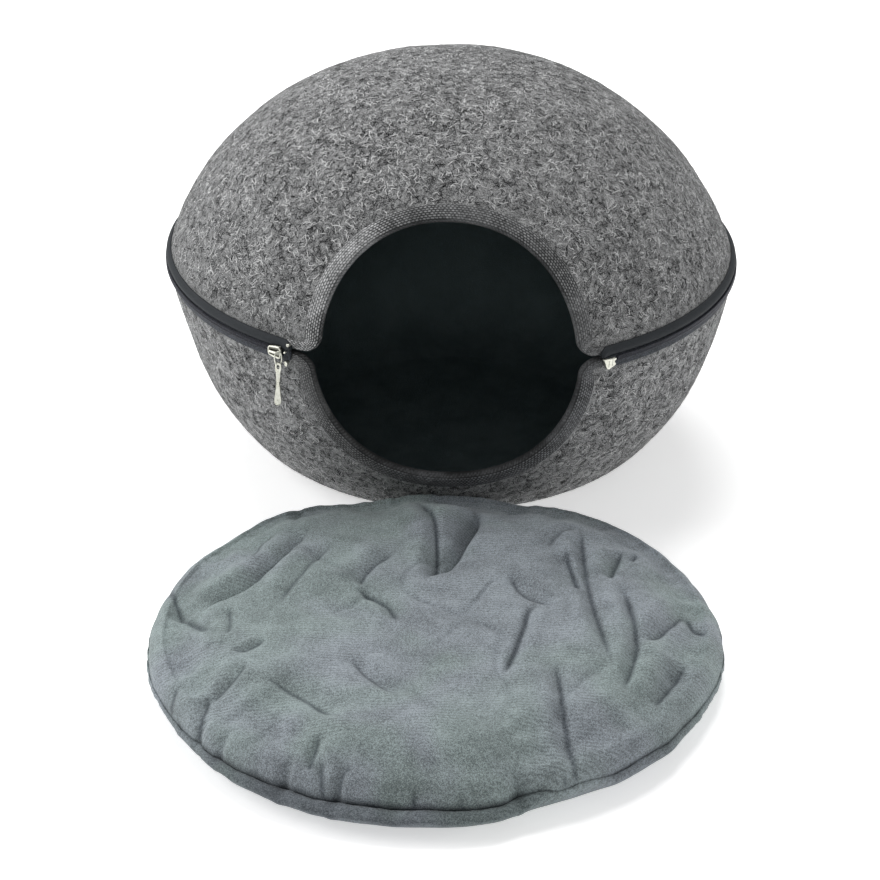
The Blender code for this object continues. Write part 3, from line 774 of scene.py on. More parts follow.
def zip_teeth(finish):
    """Two rows of interlocked nylon teeth, each a rounded bar across its tape's edge, on a flat cord."""
    count = int((COIL_END - COIL_START) * WAIST_RADIUS / TOOTH_PITCH)
    turns = np.linspace(COIL_START, COIL_END, count)
    back = WAIST_RADIUS + METAL_SEAT
    middle = WAIST_HEIGHT + COIL_RISE
    spots = []
    for side in (1, -1):
        azimuth = turns + (0.5 * (turns[1] - turns[0]) if side > 0 else 0.0)
        for rise, radius, depth in TOOTH_RINGS:
            for step in range(TOOTH_SIDES):
                angle = 2 * pi * step / TOOTH_SIDES
                out = back + depth + radius * 1.3 * sin(angle)
                turn = azimuth + radius * cos(angle) / WAIST_RADIUS
                spots.append(round_pod(out, turn, middle + side * rise))
    teeth = np.stack(spots, axis=1).reshape(-1, len(TOOTH_RINGS), TOOTH_SIDES, 3)
    turns = np.linspace(COIL_START, COIL_END, STRIP_COLUMNS)
    cord = np.stack([round_pod(back + depth, turns, middle + rise) for depth, rise in TOOTH_CORD], axis=1)
    body = joined([swept(tooth) for tooth in teeth] + [swept(cord)])
    return piece("zip_teeth", body, [finish], "zip_coil", "zip_coil")


# ---- cushion ----

# Creases of the cushion, in millimetres: world x and y along each one, its depth, the widths of its soft and
# steep flanks, the height of the roll beyond the soft flank, and the side of its run (+1 left, -1 right) on
# which that roll lies
CREASES = (
    (((-113, -274), (-130, -306), (-147, -337), (-161, -358), (-178, -369), (-199, -387)),
     10.5, 10, 3, 4, -1),
    (((-144, -269), (-156, -294), (-160, -322)), 4, 8, 6, 2, -1),
    (((-229, -315), (-209, -380), (-194, -403), (-176, -426)), 6.5, 6, 3.2, 3, -1),
    (((-141, -434), (-145, -443), (-155, -452), (-166, -448)), 4.2, 3.6, 2.6, 2, -1),
    (((-172, -386), (-169, -407), (-169, -423), (-173, -430)), 3.5, 6, 3, 1.5, -1),
    (((-93, -302), (-111, -329), (-123, -359), (-136, -390)), 4, 8, 3, 2, -1),
    (((-46, -314), (-58, -329), (-69, -346), (-73, -365)), 6, 7.5, 3, 3, -1),
    (((-77, -365), (-64, -375), (-49, -392), (-40, -416)), 5.5, 5.5, 2.8, 2.5, -1),
    (((-76, -459), (-65, -480), (-50, -497), (-35, -506)), 4, 8, 3.2, 2, 1),
    (((-34, -222), (-22, -242), (-14, -266), (-12, -307), (-13, -338), (-26, -363)), 6.5, 7, 3, 3, -1),
    (((-82, -533), (-95, -519), (-110, -503), (-128, -488), (-141, -484)), 5.5, 14, 8, 2.5, -1),
    (((-151, -466), (-160, -482), (-171, -492), (-180, -494)), 4.5, 7, 3, 2, -1),
    (((-178, -488), (-180, -506), (-186, -527), (-192, -526)), 8, 9.5, 3.2, 3.5, -1),
    (((-203, -473), (-207, -486), (-209, -492)), 5, 6, 3, 2, -1),
    (((-95, -548), (-98, -561), (-103, -576)), 6, 6, 2.8, 2.5, -1),
    (((-93, -566), (-92, -590), (-95, -611)), 11, 7, 2.8, 3.5, -1),
    (((-72, -573), (-78, -581), (-82, -589)), 4, 6, 3, 1.5, -1),
    (((-26, -591), (-30, -603), (-33, -620)), 6, 9, 4, 2, -1),
    (((15, -231), (23, -248), (18, -269), (8, -302), (-4, -331), (-17, -355)), 16, 15, 3.4, 4, -1),
    (((44, -346), (51, -365), (61, -379), (79, -389)), 5, 7, 3, 2, 1),
    (((66, -383), (57, -395), (53, -419), (46, -447), (35, -484)), 7, 6, 2.6, 2.5, 1),
    (((104, -260), (104, -308), (105, -348), (107, -389), (111, -419), (115, -447), (117, -475)),
     6, 6, 2.8, 2.5, -1),
    (((89, -310), (94, -339), (99, -366)), 7, 10, 3, 2.5, -1),
    (((130, -352), (135, -377), (137, -406), (138, -440), (132, -465), (125, -487), (121, -503)),
     8, 6, 3, 3, -1),
    (((180, -378), (168, -402), (154, -424), (140, -436)), 8, 8.5, 3, 3.5, -1),
    (((179, -383), (184, -399), (196, -403)), 6, 5, 3, 2, -1),
    (((136, -302), (128, -327), (122, -348)), 8, 6.5, 3, 3, -1),
    (((147, -304), (141, -319)), 6, 5, 2.8, 2, -1),
    (((175, -446), (164, -466), (154, -485), (144, -504)), 8, 8, 3, 3, -1),
    (((74, -461), (77, -489), (78, -518), (81, -549), (84, -568), (87, -592)), 6.5, 6, 2.8, 2.5, -1),
    (((78, -573), (76, -596), (79, -607)), 10, 7, 3, 3, -1),
    (((103, -267), (89, -280), (80, -294), (76, -308)), 3.5, 6, 3, 1.5, -1),
    (((5, -594), (2, -613), (3, -620)), 6, 6, 3, 2, -1),
)
# Width of the painted shade line along each crease
CREASE_LINE = 0.0019
CREASE_ROUND = 0.0014
CREASE_TAPER = 0.22
CREASE_KNOTS = 40
CREASE_SMOOTHINGS = 8
CREASE_POINTS = 240


def crease_path(points):
    """A crease's points, rounded off and closely spaced."""
    line = np.array(points) / 1000
    place = distances(line)
    path = along_path(np.linspace(0.0, place[-1], CREASE_KNOTS), place, line)
    for _ in range(CREASE_SMOOTHINGS):
        path[1:-1] = path[:-2] * 0.25 + path[1:-1] * 0.5 + path[2:] * 0.25
    shares = np.linspace(0.0, 1.0, CREASE_POINTS)
    return shares, along_path(shares, np.linspace(0.0, 1.0, CREASE_KNOTS), path)


def fold_field(x, y):
    """How far the creases and their rolls move the cushion's top, and how much painted shade each place gets.
    """
    moved = np.zeros_like(x)
    shaded = np.zeros_like(x)
    for points, *sizes, side in CREASES:
        depth, soft, steep, roll = np.array(sizes) / 1000
        shares, path = crease_path(points)
        reach = max(soft, steep) * 4
        near = (x > path[:, 0].min() - reach) & (x < path[:, 0].max() + reach)
        near &= (y > path[:, 1].min() - reach) & (y < path[:, 1].max() + reach)
        if not near.any():
            continue
        spots = points_at(x[near], y[near])
        gap = np.hypot(spots[:, :1] - path[:, 0], spots[:, 1:] - path[:, 1])
        nearest = gap.argmin(axis=1)
        away = gap[np.arange(len(spots)), nearest]
        slope = unit(np.gradient(path, axis=0)[nearest])
        off = spots - path[nearest]
        signed = slope[:, 0] * off[:, 1] - slope[:, 1] * off[:, 0]
        share = shares[nearest]
        taper = ease(share / CREASE_TAPER) * ease((1 - share) / CREASE_TAPER)
        across = signed * side
        width = np.where(across > 0, soft, steep)
        valley = np.exp(-(np.hypot(away, CREASE_ROUND) / width) ** 1.15)
        beyond = np.exp(-(np.maximum(away - np.abs(signed), 0.0) / soft) ** 2)
        hump = np.exp(-(across / soft - 1.9) ** 2) * beyond
        moved[near] += (roll * hump - depth * valley) * taper
        # Painted shade: a dark line along each crease
        line_shade = np.exp(-(away / CREASE_LINE) ** 2) * min(1.0, 0.55 + depth / 0.014)
        shaded[near] = np.maximum(shaded[near], line_shade * taper)
    return moved, shaded


def top_height(x, y, share):
    """Height of the cushion's plain top at a place, where share is 0 at its centre and 1 at its rim."""
    rise = (CROWN - SEAM_HEIGHT) * np.sqrt(1 - share ** RIM_SHAPE)
    firm = np.minimum(1.0, rise / FIRM_RISE)
    for swell_x, swell_y, height, radius in SWELLS:
        rise = rise + firm * height * np.exp(-((x - swell_x) ** 2 + (y - swell_y) ** 2) / radius ** 2)
    return SEAM_HEIGHT + rise


def by_direction(turn, table, reach, samples):
    """A table's values at directions in radians, softened over a reach in degrees to each side."""
    angles, values = np.array(table, dtype=float).T
    angles = np.concatenate((angles - 360, angles, angles + 360))
    near = np.degrees(turn)[:, None] + np.linspace(-reach, reach, samples)
    return np.interp(near, angles, np.tile(values, 3)).mean(axis=1)


def bumps(turn, table):
    """The sum of a table's narrow bumps at directions in radians."""
    degrees = np.degrees(turn)
    return sum(size * np.exp(-((degrees - at) / half_width) ** 2) for at, size, half_width in table)


# The cushion's bag before it is filled
BAG_COLUMNS = 128
BAG_INSET = 0.004
BAG_TOP_SHARES = (0.15, 0.3, 0.45, 0.6, 0.72, 0.82, 0.9, 0.95, 0.985, 1.0)
# Its underside: inset, height
BAG_UNDER = ((0.006, 0.0105), (0.015, 0.0045), (0.027, 0.002), (0.110, 0.002))
BAG_VOXEL = 0.006
BAG_PRESSURE = 4.0
BAG_FRAMES = 20
# How far the filling may move the bag, up to what share of the radius it shows, and how strongly
BAG_MOVE = 0.009
FILLED_SHARE = 0.965
FILLED_FADE = 0.10
FILLED_WEIGHT = 0.8


def read_points(mesh):
    """A mesh's points, as rows of coordinates."""
    points = np.empty(len(mesh.vertices) * 3)
    mesh.vertices.foreach_get("co", points)
    return points.reshape(-1, 3)


def apply_modifiers(obj):
    """Bake an object's modifiers into its mesh."""
    graph = bpy.context.evaluated_depsgraph_get()
    mesh = bpy.data.meshes.new_from_object(obj.evaluated_get(graph))
    old = obj.data
    obj.modifiers.clear()
    obj.data = mesh
    bpy.data.meshes.remove(old)


def puffed(finish):
    """The cushion's bag blown up by its filling: a cloth run of a slightly smaller bag."""
    turn = circle(BAG_COLUMNS)
    rim = by_direction(turn, CUSHION_OUTLINE, *OUTLINE_SOFTNESS) - BAG_INSET
    x, y = rim * np.cos(turn), rim * np.sin(turn)
    rings = []
    for share in BAG_TOP_SHARES:
        height = top_height(x, y, np.full_like(x, share)) - BAG_INSET
        rings.append(points_at(x * share, y * share, height))
    for inset, height in BAG_UNDER:
        share = 1 - inset / rim
        rings.append(points_at(x * share, y * share, height))
    obj = closed_object("cushion_bag", swept(np.array(rings) + (*CUSHION_CENTRE, 0.0)), [finish])
    remesh = obj.modifiers.new("even", "REMESH")
    remesh.mode = "VOXEL"
    remesh.voxel_size = BAG_VOXEL
    apply_modifiers(obj)
    cloth = obj.modifiers.new("fill", "CLOTH")
    cloth.settings.use_pressure = True
    cloth.settings.uniform_pressure_force = BAG_PRESSURE
    cloth.settings.effector_weights.gravity = 0.0
    cloth.point_cache.frame_start = 1
    cloth.point_cache.frame_end = BAG_FRAMES
    before = read_points(obj.data)
    scene = bpy.context.scene
    for step in range(1, BAG_FRAMES + 1):
        scene.frame_set(step)
    graph = bpy.context.evaluated_depsgraph_get()
    moved = read_points(obj.evaluated_get(graph).to_mesh()) - before
    scene.frame_set(1)
    far = np.linalg.norm(moved, axis=1)
    moved *= (np.minimum(far, BAG_MOVE) / np.maximum(far, 1e-9))[:, None]
    faces = [list(face.vertices) for face in obj.data.polygons]
    bpy.data.objects.remove(obj, do_unlink=True)
    return BVHTree.FromPolygons((before + moved).tolist(), faces)


def filled(height, world_x, world_y, share, finish):
    """The top's height, drawn towards the filled bag's."""
    tree = puffed(finish)
    blown = np.array(height)
    down = Vector((0, 0, -1))
    for row in np.flatnonzero(share <= FILLED_SHARE):
        for column in range(CUSHION_COLUMNS):
            spot = Vector((world_x[row, column], world_y[row, column], 0.3))
            hit = tree.ray_cast(spot, down)[0]
            if hit is not None:
                blown[row, column] = hit.z
    weight = ease((FILLED_SHARE - share) / FILLED_FADE)[:, None]
    return height + (blown - height) * weight * FILLED_WEIGHT


CUSHION_COLUMNS = 580
CUSHION_ROWS = 146
# Reach in degrees and samples that soften the outline, and the seam's inset
OUTLINE_SOFTNESS = (6, 13)
SEAM_SOFTNESS = (1.5, 7)
# How far the rim's seam lies inside the outline, by direction in degrees
SEAM_INSETS = (
    (0, 0.0010), (180, 0.0010), (204, 0.0015), (212, 0.0035), (222, 0.0060), (230, 0.0085), (242, 0.0105),
    (256, 0.0125), (266, 0.0118), (278, 0.0100), (287, 0.0095), (294, 0.0020), (303, 0.0012), (309, 0.0048),
    (320, 0.0050), (330, 0.0042), (342, 0.0022), (352, 0.0010),
)
# Inset from which the rim shows its whole band
FULL_INSET = 0.0085
# Pinches of the rim: direction in degrees, how far in, half width in degrees
PINCHES = (
    (216.4, 0.0024, 0.9),
    (223.1, 0.0026, 1.0),
    (239.3, 0.0034, 1.1),
    (250.3, 0.0036, 1.1),
    (262.0, 0.0016, 1.0),
    (286.5, 0.0042, 1.6),
)
# The lip of the seam where it stands up at the front: direction in degrees, height, half width in degrees
LIPS = ((291.0, 0.0040, 3.6), (301.0, 0.0052, 4.6), (315.0, 0.0020, 5.0))
SEAM_GROOVE = 0.0020
GROOVE_HEIGHT = 0.0176
# The rim's band: share of the seam's inset, height
RIM_BAND = ((0.90, 0.0204), (0.58, 0.0204), (0.28, 0.0190), (0.06, 0.0163))
# The rim's underside: inset from the outline, height
RIM_UNDER = (
    (0.0026, 0.0125), (0.0068, 0.0085), (0.0112, 0.0050), (0.0165, 0.0022),
    (0.0230, 0.0006), (0.0320, 0.0), (0.0700, 0.0), (0.1400, 0.0),
)
# Radius of the circle round which the rim's lumps are read
NOISE_CIRCLE = 3.4
# Lumps of the cushion: height, size and seed of each layer
RIM_WOBBLE = (0.0011, 0.30, 23.0)
SEAM_WOBBLE = (0.0007, 0.20, 17.0)
TOP_LUMPS = ((0.0040, 0.075, 11.0), (0.0028, 0.036, 12.0), (0.0012, 0.015, 13.0))
PUCKERS = ((0.0034, 0.32, 14.0), (0.0018, 0.14, 15.0))
SEAM_WAVES = ((0.0012, 0.45, 18.0), (0.0006, 0.15, 19.0))
RUFFLES = ((0.0012, 0.16, 16.0), (0.0006, 0.06, 20.0))
# Where the puckers lie, as a share of the radius, and their half width
PUCKER_SHARE = 0.90
PUCKER_WIDTH = 0.065
# Depth and shade of the random crinkles
CRINKLE_DEPTH = 0.0015
CRINKLE_SHADE = 0.16


def cushion(finish):
    """The plush cushion: a filled bag with a crown, placed creases, fine random ones and a seamed rim."""
    turn = circle(CUSHION_COLUMNS)
    cosine, sine, zero = np.cos(turn), np.sin(turn), np.zeros_like(turn)
    around = points_at(cosine * NOISE_CIRCLE, sine * NOISE_CIRCLE, 0.0)
    rim = by_direction(turn, CUSHION_OUTLINE, *OUTLINE_SOFTNESS) + layered(around, RIM_WOBBLE)
    inset = by_direction(turn, SEAM_INSETS, *SEAM_SOFTNESS)
    front = np.clip(inset / FULL_INSET, 0.0, 1.0)
    pinch = bumps(turn, PINCHES)
    seam = rim - inset - pinch + layered(around, SEAM_WOBBLE) * front
    share = 1 - (1 - np.linspace(0.010, 1.0, CUSHION_ROWS)) ** 1.12
    x = seam * cosine * share[:, None]
    y = seam * sine * share[:, None]
    height = top_height(x, y, np.broadcast_to(share[:, None], x.shape))
    firm = np.clip((height - SEAM_HEIGHT) / FIRM_RISE, 0.0, 1.0)
    world_x, world_y = x + CUSHION_CENTRE[0], y + CUSHION_CENTRE[1]
    height = filled(height, world_x, world_y, share, finish)
    flat = points_at(world_x, world_y, 0.0)
    crinkle = np.exp(-(lumps(flat, 0.060, 21.0) / 0.06) ** 2) * ease(0.5 + 1.6 * lumps(flat, 0.080, 22.0))
    # Painted shade along the creases and in the random crinkles
    folds, shaded = fold_field(world_x, world_y)
    shaded = np.maximum(shaded, CRINKLE_SHADE * crinkle * firm)
    puckered = np.exp(-((share[:, None] - PUCKER_SHARE) / PUCKER_WIDTH) ** 2)
    height = height + firm * (layered(flat, *TOP_LUMPS) + folds - CRINKLE_DEPTH * crinkle)
    height = height + puckered * layered(around, *PUCKERS) * firm
    wave = bumps(turn, LIPS) + layered(around, *SEAM_WAVES) - 0.5 * pinch
    height = height + (0.0015 * front + wave) * ease((share - 0.93) / 0.07)[:, None]
    rings = list(points_at(world_x, world_y, height))
    # groove sets the seam groove's depth and its painted shade
    groove = 0.12 + 0.88 * front
    # Painted shade of the rim's band: faint at the back, full at the front
    rim_shade = 0.1 + 0.9 * front
    ruffle = layered(around, *RUFFLES)
    # Rings below the seam: inset, height, painted shade of the fold, painted shade of the band
    levels = [(inset + pinch + SEAM_GROOVE * groove, GROOVE_HEIGHT, groove, rim_shade)]
    for part, level in RIM_BAND:
        levels.append(((inset + pinch) * part - ruffle, level, zero, rim_shade))
    # The underside takes painted shade: half at the back, full at the front
    for under_inset, level in RIM_UNDER:
        levels.append((under_inset, level, zero, 0.5 + 0.5 * front))
    for level_inset, level, _, _ in levels:
        radius = rim - level_inset
        spots = (radius * cosine + CUSHION_CENTRE[0], radius * sine + CUSHION_CENTRE[1])
        rings.append(points_at(*spots, level + wave * ease((level - 0.004) / 0.014)))
    # Painted shade along the seam groove, on the top's last ring
    shaded[-1] = groove * 0.8
    fold = list(shaded) + [dark for _, _, dark, _ in levels]
    band = [zero] * CUSHION_ROWS + [side for _, _, _, side in levels]
    layers = {"band": np.array(band), "fold": np.array(fold)}
    obj = closed_object("plush_cushion", swept(rings), [finish], attributes=layers)
    return finished(obj, "plush", "cushion")


# ---- metal ----

# Depths of the slider, link and pull are measured out from the waist's radius, heights from the coil's middle
SLIDER_SEAT = METAL_SEAT + 0.0004
SLIDER_FACE = METAL_SEAT + 0.0035
SLIDER_BODY = SLIDER_FACE - 0.0004
SLIDER_OUTLINE = (
    # along, rise
    (-0.0062, 0.0036), (-0.0030, 0.0046), (0.0020, 0.0052), (0.0056, 0.0048), (0.0064, 0.0),
    (0.0056, -0.0048), (0.0020, -0.0052), (-0.0030, -0.0046), (-0.0062, -0.0036), (-0.0067, 0.0),
)
BAR_DEPTH = SLIDER_FACE + 0.0020
BAR_POST = 0.0050
LINK_AT = 0.0051
LINK_TURN = radians(-48)
LINK_TOP = 0.0019
LINK_BOTTOM = -0.0096
LINK_HALF_WIDTH = 0.0029
LINK_WIRE = 0.00062
PULL_TURN = radians(22)
PULL_TOP = LINK_BOTTOM + 0.0022
PULL_LEAN = -0.0022
PULL_HALF_THICKNESS = 0.0008
# The pull's hole: drop of its middle below the pull's top, half width, half height
PULL_HOLE = (0.0038, 0.0013, 0.0021)
PULL_OUTLINE = (
    # drop below the top, half width
    (0.0, 0.0009), (0.0006, 0.0018), (0.0022, 0.0026), (0.0052, 0.0026), (0.0080, 0.0020), (0.0115, 0.0017),
    (0.0230, 0.0018), (0.0310, 0.0025), (0.0355, 0.0029), (0.0385, 0.0024), (0.0398, 0.0011),
)
BOX_OUTLINE = (
    # along, rise
    (-0.0063, 0.0052), (0.0000, 0.0046), (0.0058, 0.0041), (0.0043, 0.0015), (0.0056, -0.0018),
    (0.0024, -0.0038), (-0.0015, -0.0052), (-0.0038, -0.0032), (-0.0054, 0.0012),
)
# Ribs on the box: along, from height, to height
BOX_RIBS = ((-0.0012, -0.0030, 0.0030), (0.0022, -0.0018, 0.0034))
# Where the box lies: azimuth in degrees, run
BOX_PLACE = (30.15, 0.0055)
CLIPS = (
    # name, half, azimuth in degrees, run, half width, half height
    ("nickel_clip_top", "upper", -31.6, 0.0044, 0.0016, 0.0013),
    ("nickel_clip_middle", "lower", -32.2, 0.0008, 0.0009, 0.0008),
    ("nickel_clip_bottom", "lower", -32.2, 0.0112, 0.0018, 0.0025),
)
# Rims of a plate, from its face to its side: how many bevels inward, and how many down from the face
PLATE_RIMS = ((1.6, 0.0), (0.9, 0.0), (0.35, 0.30), (0.0, 1.0))
WIRE_SIDES = 10


def tube(path, radius, closed=True):
    """Points and faces of a round wire along a path of points, its ends capped if it isn't closed."""
    path = np.array(path, dtype=float)
    if closed:
        along = np.roll(path, -1, axis=0) - np.roll(path, 1, axis=0)
    else:
        along = np.gradient(path, axis=0)
    along = unit(along)
    plane = np.linalg.svd(path - path.mean(axis=0))[2][2]
    across = unit(np.cross(along, plane))
    up = np.cross(across, along)
    angles = circle(WIRE_SIDES)
    spokes = np.cos(angles)[None, :, None] * across[:, None] + np.sin(angles)[None, :, None] * up[:, None]
    return swept(path[:, None] + radius * spokes, looped=closed)


def upright(outline, depth):
    """An outline of (x, z), stood up at a depth towards -Y."""
    return points_at(outline[:, 0], -depth, outline[:, 1])


def plate(outline, near, far, bevel, hole=None):
    """Points and faces of a flat plate of an outline of (x, z) between two depths, its rims rounded."""
    outline = np.array(outline)
    inward = unit(outline.mean(axis=0) - outline)
    rims = [(far - bevel * down, inset) for inset, down in PLATE_RIMS]
    rims += [(near + bevel * down, inset) for inset, down in reversed(PLATE_RIMS)]
    rings = [upright(outline + inward * bevel * inset, depth) for depth, inset in rims]
    if hole is None:
        return swept(rings)
    columns = len(outline)
    lips = [upright(hole, depth) for depth in (far, (near + far) / 2, near)]
    back = (len(rings) - 1) * columns
    start = back + columns
    faces = ring_faces(len(rings), columns)
    faces += [[start + index for index in face] for face in ring_faces(len(lips), columns)]
    for column in range(columns):
        beside = (column + 1) % columns
        for edge, lip in ((0, start), (back, start + 2 * columns)):
            faces.append((edge + column, edge + beside, lip + beside, lip + column))
    return np.concatenate(rings + lips), faces


def rounded(outline, count):
    """Evenly spaced points on a smooth closed curve through an outline."""
    outline = np.array(outline)
    rows = []
    for i in range(len(outline)):
        before, here, there, beyond = (outline[(i + k) % len(outline)] for k in (-1, 0, 1, 2))
        for t in np.linspace(0.0, 1.0, 16, endpoint=False):
            bend = 2 * before - 5 * here + 4 * there - beyond + t * (3 * (here - there) + beyond - before)
            rows.append(here + 0.5 * t * (there - before + t * bend))
    rows = np.array(rows + rows[:1])
    place = distances(rows)
    return along_path(np.linspace(0.0, place[-1], count, endpoint=False), place, rows)


def turned(x, y, z, azimuth):
    """Points modelled facing -Y, turned to an azimuth."""
    cosine, sine = cos(azimuth), sin(azimuth)
    return points_at(cosine * x - sine * y, sine * x + cosine * y, z)


def on_coil(points):
    """Turn points modelled facing -Y to the slider's azimuth, level with the coil's middle."""
    spot = round_pod(WAIST_RADIUS, SLIDER_AZIMUTH, WAIST_HEIGHT + COIL_RISE)
    return turned(*points.T, SLIDER_AZIMUTH) + spot


def on_tape(half, azimuth, run):
    """A way to lay points modelled facing -Y on a half's zip tape, tilted as it is. Azimuth in degrees."""
    azimuth = radians(azimuth)
    near, far = half.point(azimuth, np.array([FELT_EDGE_RUN, half.tape_run]), BINDING_WEB)
    fall = hypot(near[0], near[1]) - hypot(far[0], far[1])
    tilt = -half.side * atan2(fall, abs(far[2] - near[2]))
    share = (run - FELT_EDGE_RUN) / (half.tape_run - FELT_EDGE_RUN)

    def lay(points):
        x, y, z = points.T
        leant_y = cos(tilt) * y - sin(tilt) * z
        leant_z = sin(tilt) * y + cos(tilt) * z
        return turned(x, leant_y, leant_z, azimuth) + near + (far - near) * share

    return lay


def metal_piece(name, parts, place, finishes, shades=None):
    """One piece of metal from several meshed parts, placed on the pod."""
    sizes = [len(faces) for _, faces in parts]
    slots = np.repeat(shades or [0] * len(parts), sizes)
    body = joined([(place(points), faces) for points, faces in parts])
    obj = closed_object(name, body, finishes, slots)
    obj.data.set_sharp_from_angle(angle=radians(40))
    return finished(obj, "zip_metal", name.replace("nickel", "zip"))


def slider(bright, recess_shade):
    """The slider: a body darkened as painted shade in its recess, with a bright rim and a bridge over it."""
    outline = rounded(SLIDER_OUTLINE, 48)
    rim = upright(outline * (0.90, 0.86), SLIDER_FACE)
    bar = []
    for t in np.linspace(0.0, pi, 15):
        depth = SLIDER_BODY + (BAR_DEPTH - SLIDER_FACE) * sin(t) ** 0.45
        bar.append((-BAR_POST * cos(t), -depth, 0.0))
    body = plate(outline, SLIDER_SEAT, SLIDER_BODY, 0.0006)
    parts = [body, tube(rim, 0.00085), tube(bar, 0.00095, closed=False)]
    metal_piece("nickel_slider", parts, on_coil, [bright, recess_shade], shades=(1, 0, 0))


def link(bright):
    """The wire link round the bridge."""
    path = []
    for t in circle(40):
        off = LINK_HALF_WIDTH * np.sign(cos(t)) * abs(cos(t)) ** 0.75
        height = (LINK_TOP + LINK_BOTTOM) / 2 + (LINK_TOP - LINK_BOTTOM) / 2 * sin(t)
        path.append((LINK_AT + off * sin(LINK_TURN), -BAR_DEPTH - off * cos(LINK_TURN), height))
    metal_piece("nickel_link", [tube(path, LINK_WIRE)], on_coil, [bright])


def pull(bright):
    """The drop-shaped pull, pierced for the link."""
    left = [(LINK_AT - half_width, PULL_TOP - drop) for drop, half_width in PULL_OUTLINE]
    right = [(LINK_AT + half_width, PULL_TOP - drop) for drop, half_width in reversed(PULL_OUTLINE)]
    outline = rounded(left + right, 64)
    drop, half_width, half_height = PULL_HOLE
    around = np.arctan2(outline[:, 1] - PULL_TOP + drop, outline[:, 0] - LINK_AT)
    hole_x = LINK_AT + half_width * np.cos(around)
    hole = points_at(hole_x, PULL_TOP - drop + half_height * np.sin(around))
    depths = (BAR_DEPTH - PULL_HALF_THICKNESS, BAR_DEPTH + PULL_HALF_THICKNESS)
    points, faces = plate(outline, *depths, 0.0005, hole=hole)
    off, deep = points[:, 0] - LINK_AT, points[:, 1] + BAR_DEPTH
    hung = PULL_LEAN * np.clip((PULL_TOP - points[:, 2]) / PULL_OUTLINE[-1][0], 0.0, 1.0)
    points[:, 0] = LINK_AT + hung + off * cos(PULL_TURN) - deep * sin(PULL_TURN)
    points[:, 1] = -BAR_DEPTH + off * sin(PULL_TURN) + deep * cos(PULL_TURN)
    metal_piece("nickel_pull", [(points, faces)], on_coil, [bright])


def zip_ends(halves, bright):
    """The box at the zip's right end and the clips at its left end."""
    parts = [plate(rounded(BOX_OUTLINE, 56), 0.0008, 0.0040, 0.0007)]
    for along, low, high in BOX_RIBS:
        parts.append(tube([(along, -0.0040, low), (along, -0.0040, high)], 0.00035, closed=False))
    metal_piece("nickel_box", parts, on_tape(halves["lower"], *BOX_PLACE), [bright])
    turns = circle(20)
    for name, place, azimuth, run, width, tall in CLIPS:
        crimp = points_at(width * np.cos(turns) * (1 + 0.25 * np.sin(turns)), tall * np.sin(turns))
        body = plate(crimp, 0.0012, 0.0046, 0.0004)
        metal_piece(name, [body], on_tape(halves[place], azimuth, run), [bright])


# ---- stage ----

LENS = 94.5
SENSOR = 36.0
CAMERA_SPOT = (-0.010, -1.880, 1.0117)
CAMERA_DOWN = 28.63
WORLD_LIGHT = 0.33
LAMPS = (
    # name, place, aim, size, power
    ("key", (-2.2, -0.15, 1.5), (0.0, -0.10, 0.12), 1.9, 36.0),
    ("top", (-0.2, 1.15, 2.55), (0.0, -0.2, 0.1), 2.2, 74.0),
    ("side", (2.2, -0.6, 0.60), (0.0, -0.1, 0.12), 0.9, 9.0),
    ("front", (-0.1, -2.3, 1.25), (0.0, -0.1, 0.14), 0.5, 1.8),
)


def stage(finish):
    """A wide pale floor, the camera and soft studio light."""
    bm = bmesh.new()
    bmesh.ops.create_grid(bm, x_segments=8, y_segments=8, size=6.0)
    mesh = bpy.data.meshes.new("floor")
    bm.to_mesh(mesh)
    bm.free()
    mesh.materials.append(finish)
    floor = placed("floor", mesh)
    floor.location.z = -0.0005

    data = bpy.data.cameras.new("camera")
    data.lens = LENS
    data.sensor_width = SENSOR
    camera = placed("camera", data)
    camera.location = CAMERA_SPOT
    camera.rotation_euler = (radians(90 - CAMERA_DOWN), 0.0, 0.0)
    scene = bpy.context.scene
    scene.camera = camera
    scene.view_settings.view_transform = "Standard"

    for name, spot, aim, size, power in LAMPS:
        light = bpy.data.lights.new(name, "AREA")
        light.shape = "DISK"
        light.size = size
        light.energy = power
        lamp = placed(name, light)
        lamp.location = spot
        lamp.rotation_euler = (Vector(aim) - Vector(spot)).to_track_quat("-Z", "Y").to_euler()
    world = bpy.data.worlds.new("studio")
    world.use_nodes = True
    background = world.node_tree.nodes["Background"].inputs
    background["Color"].default_value = (1.0, 1.0, 1.0, 1.0)
    background["Strength"].default_value = WORLD_LIGHT
    scene.world = world


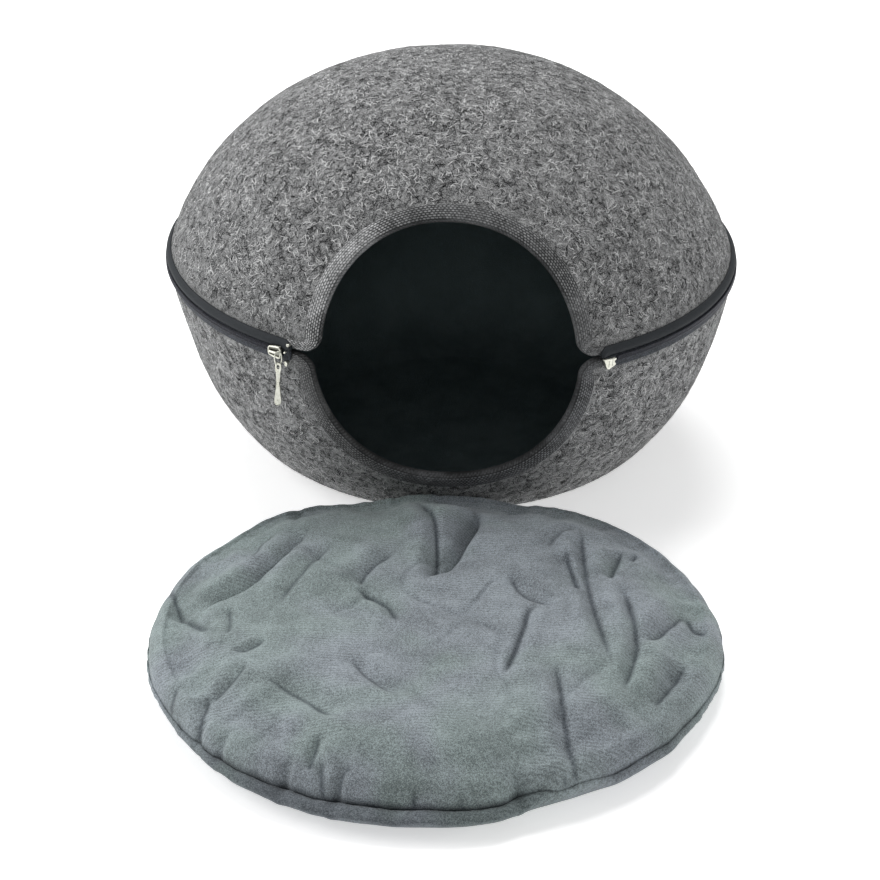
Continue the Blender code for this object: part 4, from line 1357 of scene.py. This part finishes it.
PARTS = {
    "upper": {
        "title": "dome",
        "felt": ("grey_felt_dome", 0.22, 0.43, 0.98),
        # The dome's binding takes painted light: paler at the left of the doorway
        "binding": ("binding_lit_left", 0.66, (0.30, 0.305, 0.31)),
        "zip_cloth": ("smooth_zip_cloth", 0.06),
        # Flat cuts in metres: the square round the felt's disc, and the width and length of the strips
        "felt_cut": (0.60, 0.60),
        "binding_cut": (0.030, 0.390),
        "zip_tape_cut": (0.0115, 1.290),
    },
    "lower": {
        "title": "bowl",
        # The bowl's felt is set paler than the dome's: painted light standing in for the floor's bounce. Its
        # stronger cloudy patches are the felt's own.
        "felt": ("grey_felt_bowl", 0.46, 0.54, 1.03),
        "binding": ("grey_binding", 0.245, (0.245, 0.25, 0.26)),
        "zip_cloth": ("woven_zip_cloth", 0.60),
        "felt_cut": (0.66, 0.66),
        "binding_cut": (0.030, 0.400),
        "zip_tape_cut": (0.0125, 1.290),
    },
}


def pod(halves):
    """The felt, lining, binding and zip tape of both halves."""
    black = lining_material()
    shades = [
        fibre_material("pale_fibre", (0.72, 0.725, 0.725)),
        fibre_material("mid_fibre", (0.16, 0.163, 0.165)),
        fibre_material("dark_fibre", (0.008, 0.008, 0.009)),
    ]
    facing = waist_facing(black)
    for place, half in halves.items():
        part = PARTS[place]
        title = part["title"]
        shell, outer = felt(f"felt_{title}", half, f"{place}_shell", felt_material(*part["felt"]))
        wool = fibres(f"wool_{title}", outer, 40 + half.side, shades)
        inner = lining(f"lining_{title}", half, f"{place}_lining", black)
        tape = binding_material(*part["binding"])
        edge = binding(f"binding_{title}", half, f"{place}_binding", tape)
        cloth = zip_cloth_material(*part["zip_cloth"])
        strip = zip_tape(f"zip_tape_{title}", half, f"{place}_zip_tape", cloth)


def main():
    stage(floor_material())
    halves = {
        "upper": Half(1, DOME_SECTION, DOME_ARCH, UPPER_ZIP_TAPE),
        "lower": Half(-1, BOWL_SECTION, BOWL_ARCH, LOWER_ZIP_TAPE),
    }
    pod(halves)
    zip_teeth(nylon_material())
    bright = metal_material("nickel", 1.0)
    # A darker copy of the nickel paints the shade in the slider's recessed body
    slider(bright, metal_material("nickel_recess_shade", 0.22))
    link(bright)
    pull(bright)
    zip_ends(halves, bright)
    cushion(plush_material())


main()
